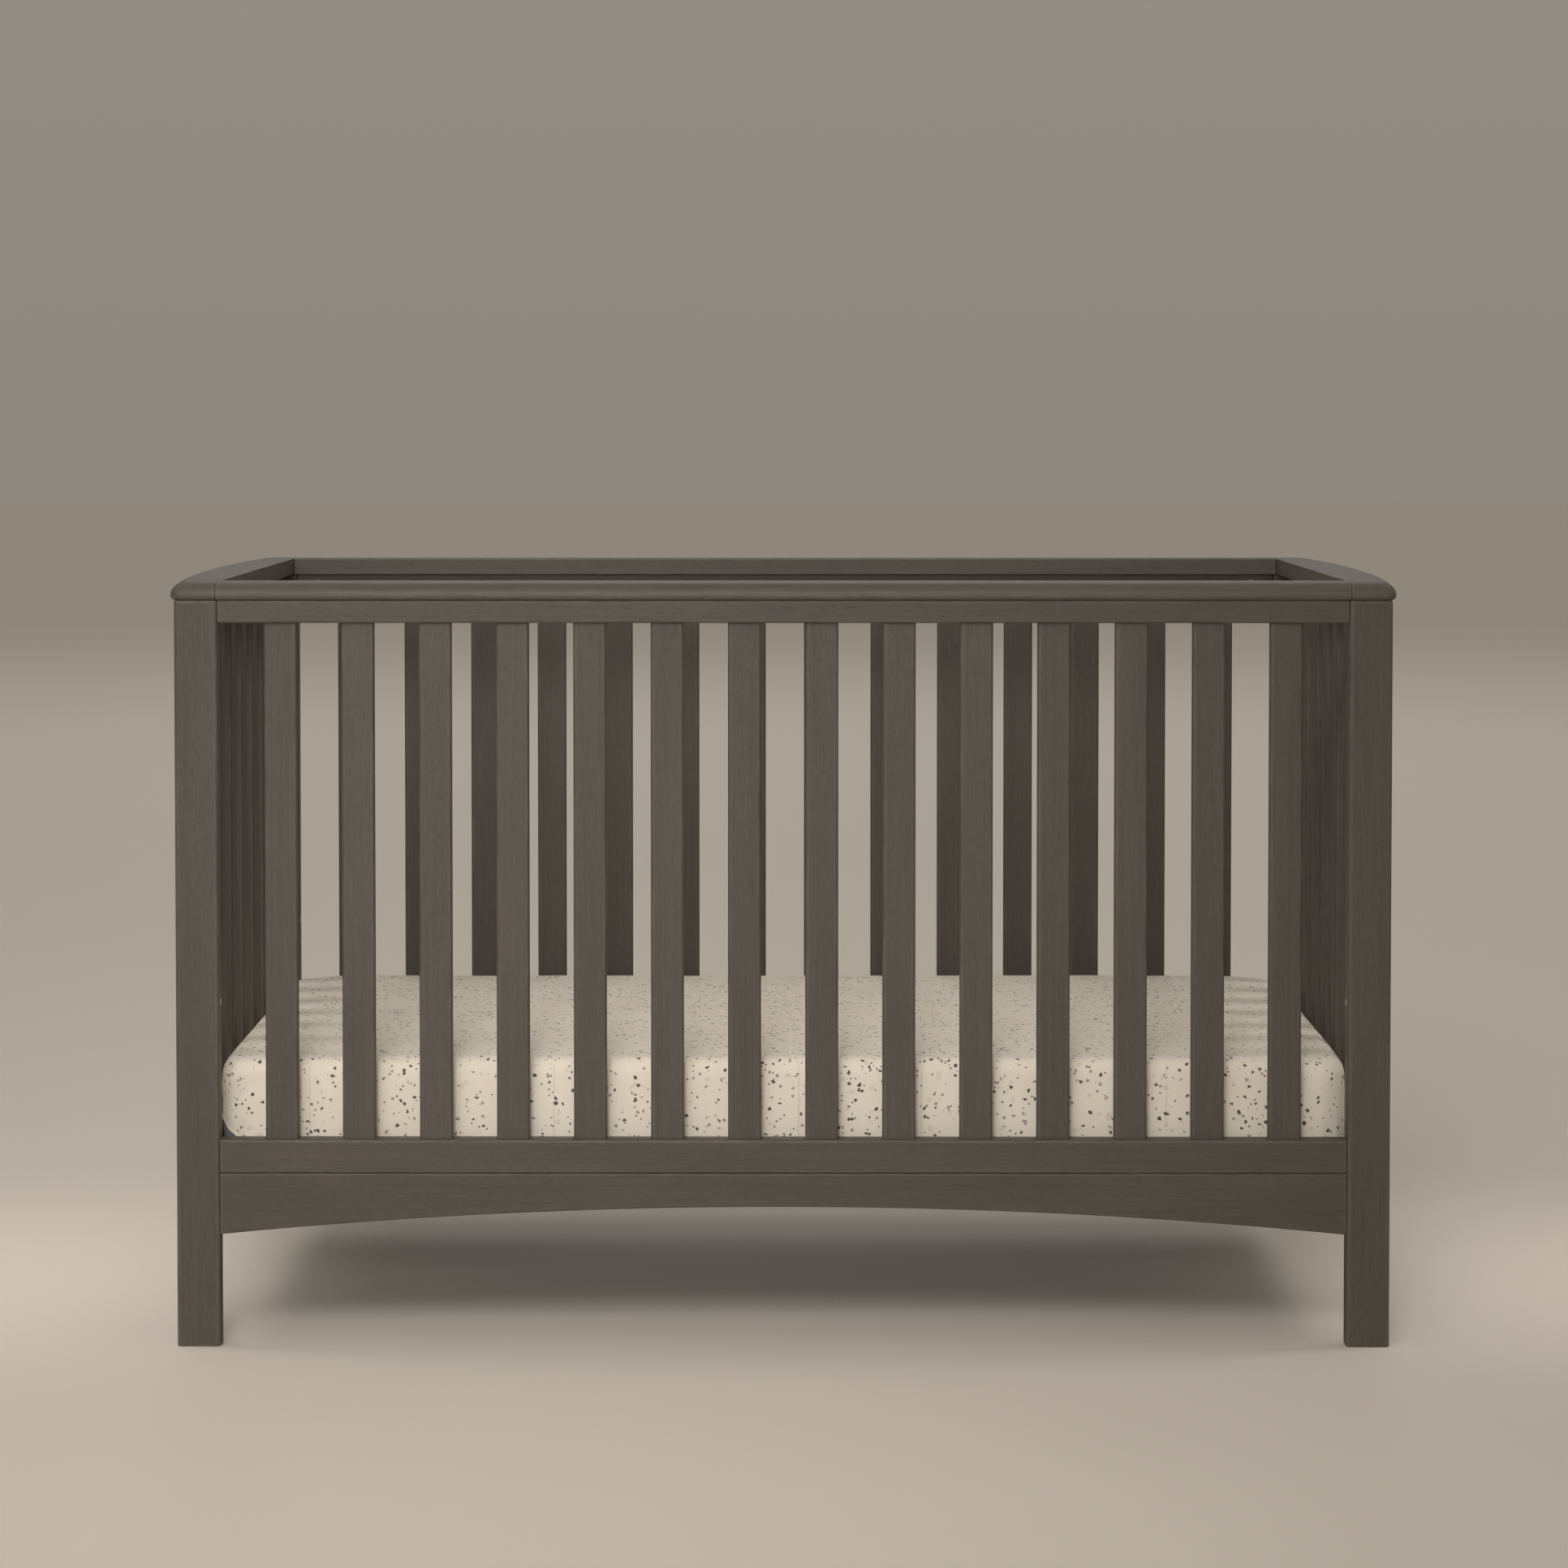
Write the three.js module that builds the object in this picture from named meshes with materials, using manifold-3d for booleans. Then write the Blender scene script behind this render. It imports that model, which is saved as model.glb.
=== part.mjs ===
// Baby crib with fixed slatted sides, in millimetres, +Z up.
// The origin is on the floor, under the middle of the crib. The front faces -Y and +X is to the right.
//
// Four flat posts stand at the corners. A slatted panel (top rail, bottom rail, slats) joins the posts at the
// front and at the back, a slatted end frame joins them at each side, and a moulded cap covers the whole rim.
// An arched apron hangs under each bottom rail. The welded mattress support hooks over four bolts, and each
// post has holes for them at four heights. The foam mattress in its fitted sheet lies loose on the support.

import * as THREE from "three";
import { mergeVertices } from "three/addons/utils/BufferGeometryUtils.js";
import Module from "manifold-3d";

const wasm = await Module();
wasm.setup();

// ---- Driving dimensions -------------------------------------------------------------------------------

const POST_OUTER_X = 699; // outer side faces of the posts
const POST_OUTER_Y = 382; // front faces of the front posts, back faces of the back posts
const POST_WIDTH = 50; // along X
const POST_DEPTH = 25; // along Y
const POST_INNER_X = POST_OUTER_X - POST_WIDTH;
const POST_INNER_Y = POST_OUTER_Y - POST_DEPTH;

const CRIB_HEIGHT = 883;
const CAP_THICKNESS = 21;
const CAP_WIDTH = 51;
const CAP_OVERHANG = 3.5; // past the posts
const CAP_NOSE = 5.5; // height of the widest line above the cap's underside
const CAP_TOP_ROUND = 18; // how far in the rounded top edge reaches
const CAP_END_BOW = 21; // how far the long edge of an end cap bulges out at its middle
const CAP_CORNER = 14;
const CAP_BOTTOM = CRIB_HEIGHT - CAP_THICKNESS;

const RAIL_DEPTH = 25;
const RAIL_SETBACK = 1; // the rails lie this far behind the posts' faces
const TOP_RAIL_BOTTOM = 836;
const BOTTOM_RAIL_TOP = 240;
const BOTTOM_RAIL_BOTTOM = 201.5;
const RAIL_OUTER_Y = POST_OUTER_Y - RAIL_SETBACK;
const RAIL_MIDDLE_Y = RAIL_OUTER_Y - RAIL_DEPTH / 2;

const SLAT_WIDTH = 38;
const SLAT_DEPTH = 12.5;
const SLAT_PITCH = 88.9;
const SLAT_COUNT = 14;
const MORTISE_DEPTH = 10;

const APRON_END_BOTTOM = 130;
const APRON_ARCH_RISE = 32;
const APRON_TOP = BOTTOM_RAIL_BOTTOM - 0.25;
const TONGUE_HEIGHT = 6;
const TONGUE_DEPTH = 8;
const TONGUE_HALF_LENGTH = 600;

const END_RAIL_INNER_X = 664.5;
const END_RAIL_OUTER_X = END_RAIL_INNER_X + RAIL_DEPTH;
const END_RAIL_MIDDLE_X = (END_RAIL_INNER_X + END_RAIL_OUTER_X) / 2;
const END_RAIL_BOTTOM = 150;
const END_SLAT_COUNT = 7;
const END_TENON_LENGTH = 8;
const END_TENON_WIDTH = 12;
const END_TENON_SHOULDER = 5; // each rail is this much taller than its tenon, above and below

const SUPPORT_TOP = 199.7;
const SUPPORT_BOTTOM = 175.5;
const SUPPORT_BAR_WIDTH = 20;
const SUPPORT_HALF_LENGTH = 640;
const SUPPORT_HALF_WIDTH = 351.5;
const SUPPORT_WIRE = 5;
const SUPPORT_CROSS_WIRES = 15;
const SUPPORT_LONG_WIRES = 6;
const HOOK_INNER_Y = 351;
const HOOK_THICKNESS = 3;
const HOOK_END_X = 664;
const HOOK_START_X = 590;
const HOOK_TOP = 208;
const HOOK_SLOT_RADIUS = 3.4;

const SUPPORT_BOLT_X = 657;
const SUPPORT_BOLT_Z = 192;
const SUPPORT_LEVELS = 4;
const SUPPORT_LEVEL_STEP = 82;
const SUPPORT_BOLT_DEPTH = 13; // into the post
const BOLT_RADIUS = 3;
const BOLT_HOLE_RADIUS = 3.4;
const SUPPORT_HEAD_RADIUS = 6.5;
const SUPPORT_HEAD_THICKNESS = 4;

const CONNECTOR_HEAD_RADIUS = 7.5;
const CONNECTOR_HEAD_THICKNESS = 2;
const CONNECTOR_LENGTH = 85;
const CONNECTOR_HEIGHTS = { top: 849, bottom: 221 };
const NUT_RADIUS = 5;
const NUT_LENGTH = 16;
const NUT_FROM_POST = 28; // from the post's inner face to the barrel nut's axis
const NUT_START_Y = RAIL_OUTER_Y - RAIL_DEPTH + 0.5;

const GUARD_HOLE_Z = 398; // threaded socket in the inner side of each post, for a guard rail
const GUARD_HOLE_RADIUS = 4;
const GUARD_HOLE_DEPTH = 12;

const MATTRESS_LENGTH = 1311;
const MATTRESS_WIDTH = 692;
const MATTRESS_BOTTOM = 200;
const MATTRESS_TOP = 329;
const MATTRESS_EDGE = 18;
const MATTRESS_CORNER = 50; // in plan
const SHEET_THICKNESS = 1.2;
const SHEET_HEM_WIDTH = 60; // how far the sheet turns in under the mattress

const FIT_GAP = 0.3; // clearance between a piece and what it plugs into
const EASED_EDGE = 3;
const ROUND_SIDES = 12;

// ---- Materials ----------------------------------------------------------------------------------------

const WOOD = new THREE.MeshStandardMaterial({ color: 0x5b5248, roughness: 0.6, metalness: 0 });
const STEEL = new THREE.MeshStandardMaterial({ color: 0x3c3d3e, roughness: 0.45, metalness: 0.8 });
const ZINC = new THREE.MeshStandardMaterial({ color: 0xa9a8a2, roughness: 0.35, metalness: 1 });
const FOAM = new THREE.MeshStandardMaterial({ color: 0x6b7477, roughness: 0.9, metalness: 0 });
const COTTON = new THREE.MeshStandardMaterial({ color: 0xd9cfbd, roughness: 0.9, metalness: 0 });

// ---- Solids -------------------------------------------------------------------------------------------

// Each axis as the direction of an extrusion, with the two directions of its section.
const SECTION_BASIS = {
  x: [new THREE.Vector3(0, 1, 0), new THREE.Vector3(0, 0, 1), new THREE.Vector3(1, 0, 0)],
  y: [new THREE.Vector3(0, 0, 1), new THREE.Vector3(1, 0, 0), new THREE.Vector3(0, 1, 0)],
  z: [new THREE.Vector3(1, 0, 0), new THREE.Vector3(0, 1, 0), new THREE.Vector3(0, 0, 1)],
};

function solidOf(geometry) {
  const bare = new THREE.BufferGeometry();
  bare.setAttribute("position", geometry.getAttribute("position"));
  if (geometry.index) bare.setIndex(geometry.index);
  const merged = mergeVertices(bare, 1e-4);
  return new wasm.Manifold(
    new wasm.Mesh({
      numProp: 3,
      vertProperties: merged.attributes.position.array,
      triVerts: new Uint32Array(merged.index.array),
    }),
  );
}

function geometryOf(solid) {
  const { vertProperties, triVerts } = solid.getMesh();
  const geometry = new THREE.BufferGeometry();
  geometry.setAttribute("position", new THREE.BufferAttribute(vertProperties, 3));
  geometry.setIndex(new THREE.BufferAttribute(triVerts, 1));
  return geometry;
}

// A section drawn in the plane across the axis, pushed from one place to another along it. The section's
// own axes are Y, Z along X; Z, X along Y; and X, Y along Z.
function extruded(axis, section, from, to, options = {}) {
  const low = Math.min(from, to);
  const geometry = new THREE.ExtrudeGeometry(section, {
    depth: Math.abs(to - from),
    bevelEnabled: false,
    curveSegments: 1,
    ...options,
  });
  geometry.translate(0, 0, low);
  geometry.applyMatrix4(new THREE.Matrix4().makeBasis(...SECTION_BASIS[axis]));
  return solidOf(geometry);
}

function roundedSection(u0, u1, v0, v1, radius) {
  const [left, right] = [Math.min(u0, u1), Math.max(u0, u1)];
  const [low, high] = [Math.min(v0, v1), Math.max(v0, v1)];
  const quarter = Math.PI / 2;
  const section = new THREE.Shape();
  section.moveTo(left + radius, low);
  section.lineTo(right - radius, low);
  section.absarc(right - radius, low + radius, radius, -quarter, 0);
  section.lineTo(right, high - radius);
  section.absarc(right - radius, high - radius, radius, 0, quarter);
  section.lineTo(left + radius, high);
  section.absarc(left + radius, high - radius, radius, quarter, 2 * quarter);
  section.lineTo(left, low + radius);
  section.absarc(left + radius, low + radius, radius, 2 * quarter, 3 * quarter);
  return section;
}

function block([x0, x1], [y0, y1], [z0, z1]) {
  const geometry = new THREE.BoxGeometry(Math.abs(x1 - x0), Math.abs(y1 - y0), Math.abs(z1 - z0));
  geometry.translate((x0 + x1) / 2, (y0 + y1) / 2, (z0 + z1) / 2);
  return solidOf(geometry);
}

// A length of timber between two corners, with its long edges eased.
function board(axis, x, y, z, radius = EASED_EDGE) {
  if (axis === "x") return extruded("x", roundedSection(...y, ...z, radius), ...x);
  if (axis === "y") return extruded("y", roundedSection(...z, ...x, radius), ...y);
  return extruded("z", roundedSection(...x, ...y, radius), ...z);
}

// A round bar or hole along an axis, at the given place across it.
function round(axis, radius, [u, v], from, to) {
  const section = new THREE.Shape();
  for (let i = 0; i < ROUND_SIDES; i += 1) {
    const angle = (2 * Math.PI * i) / ROUND_SIDES;
    const point = [u + radius * Math.cos(angle), v + radius * Math.sin(angle)];
    if (i === 0) section.moveTo(...point);
    else section.lineTo(...point);
  }
  return extruded(axis, section, from, to);
}

const union = (solids) => wasm.Manifold.union(solids);

const crib = new THREE.Group();

function add(name, solid, material) {
  const mesh = new THREE.Mesh(geometryOf(solid), material);
  mesh.name = name;
  crib.add(mesh);
}

// ---- The holes that the hardware sits in --------------------------------------------------------------

const SIDES = [
  { name: "left", sign: -1 },
  { name: "right", sign: 1 },
];
const FACES = [
  { name: "front", sign: -1 },
  { name: "back", sign: 1 },
];

// The connector bolt runs in from the post's outer side, through the post and into the rail's end.
function connectorHoles(sx, sy, z) {
  const [y, tip] = [sy * RAIL_MIDDLE_Y, POST_OUTER_X - CONNECTOR_LENGTH - 2];
  const nutX = sx * (POST_INNER_X - NUT_FROM_POST);
  const nutFrom = NUT_START_Y - 1;
  const nutTo = NUT_START_Y + NUT_LENGTH + FIT_GAP;
  return [
    round("x", BOLT_HOLE_RADIUS, [y, z], sx * tip, sx * (POST_OUTER_X + 1)),
    round("y", NUT_RADIUS + FIT_GAP, [z, nutX], sy * nutFrom, sy * nutTo),
  ];
}

function supportBoltHole(sx, sy, level) {
  const z = SUPPORT_BOLT_Z + level * SUPPORT_LEVEL_STEP;
  const bottom = POST_INNER_Y + SUPPORT_BOLT_DEPTH + 1;
  return round("y", BOLT_HOLE_RADIUS, [z, sx * SUPPORT_BOLT_X], sy * (POST_INNER_Y - 1), sy * bottom);
}

// ---- Posts --------------------------------------------------------------------------------------------

const endRails = [
  [END_RAIL_BOTTOM, BOTTOM_RAIL_TOP],
  [TOP_RAIL_BOTTOM, CAP_BOTTOM],
];

// The tongue on the end of an end frame's rail, or, with the gap, the mortise that takes it.
function endTenon(sx, sy, [bottom, top], gap = 0) {
  const half = END_TENON_WIDTH / 2 + gap;
  const tip = POST_INNER_Y + END_TENON_LENGTH + gap;
  const shoulder = END_TENON_SHOULDER - gap;
  return block(
    [sx * (END_RAIL_MIDDLE_X - half), sx * (END_RAIL_MIDDLE_X + half)],
    [sy * (POST_INNER_Y - 1), sy * tip],
    [bottom + shoulder, top - shoulder],
  );
}

function post(sx, sy) {
  const x = [sx * POST_INNER_X, sx * POST_OUTER_X];
  const y = [sy * POST_INNER_Y, sy * POST_OUTER_Y];
  const holes = Object.values(CONNECTOR_HEIGHTS).flatMap((z) => connectorHoles(sx, sy, z));
  for (let level = 0; level < SUPPORT_LEVELS; level += 1) holes.push(supportBoltHole(sx, sy, level));
  const guardEnd = POST_INNER_X + GUARD_HOLE_DEPTH;
  const guardPlace = [sy * (POST_OUTER_Y - POST_DEPTH / 2), GUARD_HOLE_Z];
  holes.push(round("x", GUARD_HOLE_RADIUS, guardPlace, sx * (POST_INNER_X - 1), sx * guardEnd));
  for (const rail of endRails) holes.push(endTenon(sx, sy, rail, FIT_GAP));
  return board("z", x, y, [0, CAP_BOTTOM]).subtract(union(holes));
}

for (const face of FACES)
  for (const side of SIDES) add(`${face.name}_${side.name}_post`, post(side.sign, face.sign), WOOD);

// ---- Front and back panels ----------------------------------------------------------------------------

const slatCentres = Array.from({ length: SLAT_COUNT }, (_, i) => (i - (SLAT_COUNT - 1) / 2) * SLAT_PITCH);

function slatBox(x, sy, z, gap = 0) {
  const [halfWidth, halfDepth] = [SLAT_WIDTH / 2 + gap, SLAT_DEPTH / 2 + gap];
  const middle = sy * RAIL_MIDDLE_Y;
  return [[x - halfWidth, x + halfWidth], [middle - halfDepth, middle + halfDepth], z];
}

function rail(sy, z, mortiseZ, connectorZ) {
  const y = [sy * (RAIL_OUTER_Y - RAIL_DEPTH), sy * RAIL_OUTER_Y];
  const cuts = slatCentres.map((x) => block(...slatBox(x, sy, mortiseZ, FIT_GAP)));
  for (const side of SIDES) cuts.push(...connectorHoles(side.sign, sy, connectorZ));
  return board("x", [-POST_INNER_X, POST_INNER_X], y, z).subtract(union(cuts));
}

// The groove under the bottom rail, or the tongue on the apron that fits into it.
function tongue(sy, gap = 0) {
  const half = TONGUE_DEPTH / 2 + gap;
  const length = TONGUE_HALF_LENGTH + gap;
  const middle = sy * RAIL_MIDDLE_Y;
  const top = BOTTOM_RAIL_BOTTOM + TONGUE_HEIGHT + gap;
  return block([-length, length], [middle - half, middle + half], [APRON_TOP - 1, top]);
}

function apron(sy) {
  const outline = new THREE.Shape();
  outline.moveTo(-POST_INNER_X, APRON_TOP);
  outline.lineTo(-POST_INNER_X, APRON_END_BOTTOM);
  const half = POST_INNER_X;
  const radius = (half * half + APRON_ARCH_RISE * APRON_ARCH_RISE) / (2 * APRON_ARCH_RISE);
  const centreZ = APRON_END_BOTTOM + APRON_ARCH_RISE - radius;
  const spread = Math.asin(half / radius);
  outline.absarc(0, centreZ, radius, Math.PI / 2 + spread, Math.PI / 2 - spread, true);
  outline.lineTo(POST_INNER_X, APRON_TOP);
  const geometry = new THREE.ExtrudeGeometry(outline, {
    depth: RAIL_DEPTH,
    bevelEnabled: false,
    curveSegments: 16,
  });
  geometry.rotateX(Math.PI / 2);
  const backOfPlate = sy < 0 ? -(RAIL_OUTER_Y - RAIL_DEPTH) : RAIL_OUTER_Y;
  geometry.translate(0, backOfPlate, 0);
  return solidOf(geometry).add(tongue(sy));
}

for (const { name, sign: sy } of FACES) {
  const topMortise = [TOP_RAIL_BOTTOM - 1, TOP_RAIL_BOTTOM + MORTISE_DEPTH];
  const bottomMortise = [BOTTOM_RAIL_TOP - MORTISE_DEPTH, BOTTOM_RAIL_TOP + 1];
  const topRail = rail(sy, [TOP_RAIL_BOTTOM, CAP_BOTTOM], topMortise, CONNECTOR_HEIGHTS.top);
  const bottomBoard = [BOTTOM_RAIL_BOTTOM, BOTTOM_RAIL_TOP];
  const bottomRail = rail(sy, bottomBoard, bottomMortise, CONNECTOR_HEIGHTS.bottom);
  add(`${name}_top_rail`, topRail, WOOD);
  add(`${name}_bottom_rail`, bottomRail.subtract(tongue(sy, FIT_GAP)), WOOD);
  add(`${name}_apron`, apron(sy), WOOD);
  const slatZ = [bottomMortise[0] + FIT_GAP, topMortise[1] - FIT_GAP];
  slatCentres.forEach((x, i) => {
    const number = String(i + 1).padStart(2, "0");
    add(`${name}_slat_${number}`, board("z", ...slatBox(x, sy, slatZ)), WOOD);
  });
}

// ---- End frames: two rails and seven slats glued into one piece, with tenons into the posts ----------

function endFrame(sx) {
  const x = [sx * END_RAIL_INNER_X, sx * END_RAIL_OUTER_X];
  const slatX = [sx * (END_RAIL_MIDDLE_X - SLAT_DEPTH / 2), sx * (END_RAIL_MIDDLE_X + SLAT_DEPTH / 2)];
  const pieces = endRails.map((z) => board("y", x, [-POST_INNER_Y, POST_INNER_Y], z));
  for (const z of endRails) for (const face of FACES) pieces.push(endTenon(sx, face.sign, z));
  const gap = (2 * POST_INNER_Y - END_SLAT_COUNT * SLAT_WIDTH) / (END_SLAT_COUNT + 1);
  for (let i = 0; i < END_SLAT_COUNT; i += 1) {
    const y = -POST_INNER_Y + gap + i * (SLAT_WIDTH + gap);
    pieces.push(board("z", slatX, [y, y + SLAT_WIDTH], [BOTTOM_RAIL_TOP - 5, TOP_RAIL_BOTTOM + 5]));
  }
  return union(pieces);
}

for (const { name, sign } of SIDES) add(`${name}_end_frame`, endFrame(sign), WOOD);

// ---- Caps ---------------------------------------------------------------------------------------------

const CAP_OUTER_X = POST_OUTER_X + CAP_OVERHANG;
const CAP_OUTER_Y = POST_OUTER_Y + CAP_OVERHANG;
const CAP_INNER_X = CAP_OUTER_X - CAP_WIDTH;
const CAP_INNER_Y = CAP_OUTER_Y - CAP_WIDTH;
const CAP_SEAM = 0.5; // between a straight cap and the end cap that it meets

// The section has a square inner edge, and an outer edge with a small round below its nose and a long
// quarter-ellipse above it.
function straightCap(sy) {
  const nose = CAP_BOTTOM + CAP_NOSE;
  const rise = CAP_THICKNESS - CAP_NOSE;
  const section = new THREE.Shape();
  const quarter = Math.PI / 2;
  section.moveTo(CAP_INNER_Y, CAP_BOTTOM);
  section.lineTo(CAP_OUTER_Y - CAP_NOSE, CAP_BOTTOM);
  section.absarc(CAP_OUTER_Y - CAP_NOSE, nose, CAP_NOSE, -quarter, 0);
  section.absellipse(CAP_OUTER_Y - CAP_TOP_ROUND, nose, CAP_TOP_ROUND, rise, 0, quarter);
  section.lineTo(CAP_INNER_Y, CRIB_HEIGHT);
  const length = CAP_INNER_X - CAP_SEAM;
  const cap = extruded("x", section, -length, length, { curveSegments: 4 });
  return sy < 0 ? cap.rotate([0, 0, 180]) : cap;
}

// The plan of an end cap, drawn back from its widest outline by an inset: straight short edges, rounded
// corners and a long edge that bulges out. It runs past the inner edge, which is cut square afterwards.
function endCapPlan(inset) {
  const halfLength = CAP_OUTER_Y - inset;
  const middle = CAP_OUTER_X + CAP_END_BOW;
  const radius = (CAP_OUTER_Y ** 2 + CAP_END_BOW ** 2) / (2 * CAP_END_BOW) - inset;
  const centreX = middle - inset - radius;
  const edgeX = (y) => centreX + Math.sqrt(radius * radius - y * y);
  const cornerY = halfLength - CAP_CORNER;
  const spread = Math.asin(cornerY / radius);
  const farX = CAP_INNER_X - CAP_WIDTH;
  const plan = new THREE.Shape();
  plan.moveTo(farX, -halfLength);
  plan.lineTo(edgeX(halfLength) - CAP_CORNER, -halfLength);
  plan.quadraticCurveTo(edgeX(halfLength), -halfLength, edgeX(cornerY), -cornerY);
  plan.absarc(centreX, 0, radius, -spread, spread);
  plan.quadraticCurveTo(edgeX(halfLength), halfLength, edgeX(halfLength) - CAP_CORNER, halfLength);
  plan.lineTo(farX, halfLength);
  return plan;
}

function endCap(sx) {
  const rise = CAP_THICKNESS - CAP_NOSE;
  const nose = CAP_BOTTOM + CAP_NOSE;
  const rounded = (size, thickness, from, to) =>
    extruded("z", endCapPlan(size), from, to, {
      bevelEnabled: true,
      bevelSize: size,
      bevelThickness: thickness,
      bevelSegments: 6,
      curveSegments: 8,
    });
  const upper = rounded(CAP_TOP_ROUND, rise, nose - CAP_THICKNESS, nose);
  const lower = rounded(CAP_NOSE, CAP_NOSE, nose, nose + CAP_THICKNESS);
  const height = [CAP_BOTTOM - 1, CRIB_HEIGHT + 1];
  const keep = block([CAP_INNER_X, 2 * CAP_OUTER_X], [-CAP_OUTER_X, CAP_OUTER_X], height);
  const cap = upper.intersect(lower).intersect(keep);
  return sx < 0 ? cap.rotate([0, 0, 180]) : cap;
}

for (const { name, sign } of FACES) add(`${name}_cap`, straightCap(sign), WOOD);
for (const { name, sign } of SIDES) add(`${name}_end_cap`, endCap(sign), WOOD);

// ---- Connector bolts, each with the barrel nut that it screws into ------------------------------------

function connector(sx, sy, z) {
  const y = sy * RAIL_MIDDLE_Y;
  const outer = sx * POST_OUTER_X;
  const shank = round("x", BOLT_RADIUS, [y, z], sx * (POST_OUTER_X - CONNECTOR_LENGTH), outer + sx);
  const headFrom = outer + sx * 0.25;
  const head = round("x", CONNECTOR_HEAD_RADIUS, [y, z], headFrom, outer + sx * CONNECTOR_HEAD_THICKNESS);
  const nutX = sx * (POST_INNER_X - NUT_FROM_POST);
  const nut = round("y", NUT_RADIUS, [z, nutX], sy * NUT_START_Y, sy * (NUT_START_Y + NUT_LENGTH));
  return union([shank, head, nut]);
}

for (const face of FACES)
  for (const side of SIDES)
    for (const [place, z] of Object.entries(CONNECTOR_HEIGHTS)) {
      const name = `${face.name}_${side.name}_${place}_connector`;
      add(name, connector(side.sign, face.sign, z), ZINC);
    }

// ---- Mattress support ---------------------------------------------------------------------------------

// The plate at each corner of the support, with a slot open at its lower edge that drops over a bolt.
function hookPlate(sx, sy) {
  const y = [sy * HOOK_INNER_Y, sy * (HOOK_INNER_Y + HOOK_THICKNESS)];
  const plate = block([sx * HOOK_START_X, sx * HOOK_END_X], y, [SUPPORT_BOTTOM + 2, HOOK_TOP]);
  const through = [sy * (HOOK_INNER_Y - 1), sy * (HOOK_INNER_Y + HOOK_THICKNESS + 1)];
  const slotX = [SUPPORT_BOLT_X - HOOK_SLOT_RADIUS, SUPPORT_BOLT_X + HOOK_SLOT_RADIUS].map((x) => sx * x);
  const slot = block(slotX, through, [SUPPORT_BOTTOM - 1, SUPPORT_BOLT_Z]);
  const slotTop = round("y", HOOK_SLOT_RADIUS, [SUPPORT_BOLT_Z, sx * SUPPORT_BOLT_X], ...through);
  return plate.subtract(slot.add(slotTop));
}

// Four bars welded into a rectangle, with a hook plate welded on at each corner.
function supportFrame() {
  const [halfLength, halfWidth] = [SUPPORT_HALF_LENGTH, SUPPORT_HALF_WIDTH];
  const [openX, openY] = [halfLength - SUPPORT_BAR_WIDTH, halfWidth - SUPPORT_BAR_WIDTH];
  const top = SUPPORT_TOP - SUPPORT_WIRE - FIT_GAP;
  const outside = block([-halfLength, halfLength], [-halfWidth, halfWidth], [SUPPORT_BOTTOM, top]);
  const inside = block([-openX, openX], [-openY, openY], [SUPPORT_BOTTOM - 1, top + 1]);
  const pieces = [outside.subtract(inside)];
  for (const face of FACES) for (const side of SIDES) pieces.push(hookPlate(side.sign, face.sign));
  return union(pieces);
}

// A welded mesh: its cross wires lie on the frame's bars, and its long wires hang under them between the bars.
function supportGrille() {
  const half = SUPPORT_WIRE / 2;
  const [openX, openY] = [SUPPORT_HALF_LENGTH - SUPPORT_BAR_WIDTH, SUPPORT_HALF_WIDTH - SUPPORT_BAR_WIDTH];
  const pieces = [];
  const crossPitch = (2 * openX) / (SUPPORT_CROSS_WIRES + 1);
  const crossEnd = openY + SUPPORT_BAR_WIDTH / 2;
  for (let i = 1; i <= SUPPORT_CROSS_WIRES; i += 1) {
    const x = -openX + i * crossPitch;
    pieces.push(block([x - half, x + half], [-crossEnd, crossEnd], [SUPPORT_TOP - SUPPORT_WIRE, SUPPORT_TOP]));
  }
  const longPitch = (2 * openY) / (SUPPORT_LONG_WIRES + 1);
  const longEnd = openX - FIT_GAP;
  const longTop = SUPPORT_TOP - 0.75 * SUPPORT_WIRE;
  for (let i = 1; i <= SUPPORT_LONG_WIRES; i += 1) {
    const y = -openY + i * longPitch;
    pieces.push(block([-longEnd, longEnd], [y - half, y + half], [longTop - SUPPORT_WIRE, longTop]));
  }
  return union(pieces);
}

add("support_frame", supportFrame(), STEEL);
add("support_grille", supportGrille(), STEEL);

function supportBolt(sx, sy) {
  const place = [SUPPORT_BOLT_Z, sx * SUPPORT_BOLT_X];
  const headTop = HOOK_INNER_Y - FIT_GAP;
  const headBottom = headTop - SUPPORT_HEAD_THICKNESS;
  const shank = round("y", BOLT_RADIUS, place, sy * (headTop - 1), sy * (POST_INNER_Y + SUPPORT_BOLT_DEPTH));
  return shank.add(round("y", SUPPORT_HEAD_RADIUS, place, sy * headBottom, sy * headTop));
}

for (const face of FACES)
  for (const side of SIDES)
    add(`${face.name}_${side.name}_support_bolt`, supportBolt(side.sign, face.sign), ZINC);

// ---- Mattress and its fitted sheet --------------------------------------------------------------------

// A box with every edge rounded, drawn in from the mattress's outside by an inset.
function pad(inset) {
  const edge = MATTRESS_EDGE - inset;
  const halfLength = MATTRESS_LENGTH / 2 - inset - edge;
  const halfWidth = MATTRESS_WIDTH / 2 - inset - edge;
  const corner = MATTRESS_CORNER - MATTRESS_EDGE;
  const plan = roundedSection(-halfLength, halfLength, -halfWidth, halfWidth, corner);
  return extruded("z", plan, MATTRESS_BOTTOM + inset + edge, MATTRESS_TOP - inset - edge, {
    bevelEnabled: true,
    bevelSize: edge,
    bevelThickness: edge,
    bevelSegments: 4,
    curveSegments: 3,
  });
}

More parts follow.
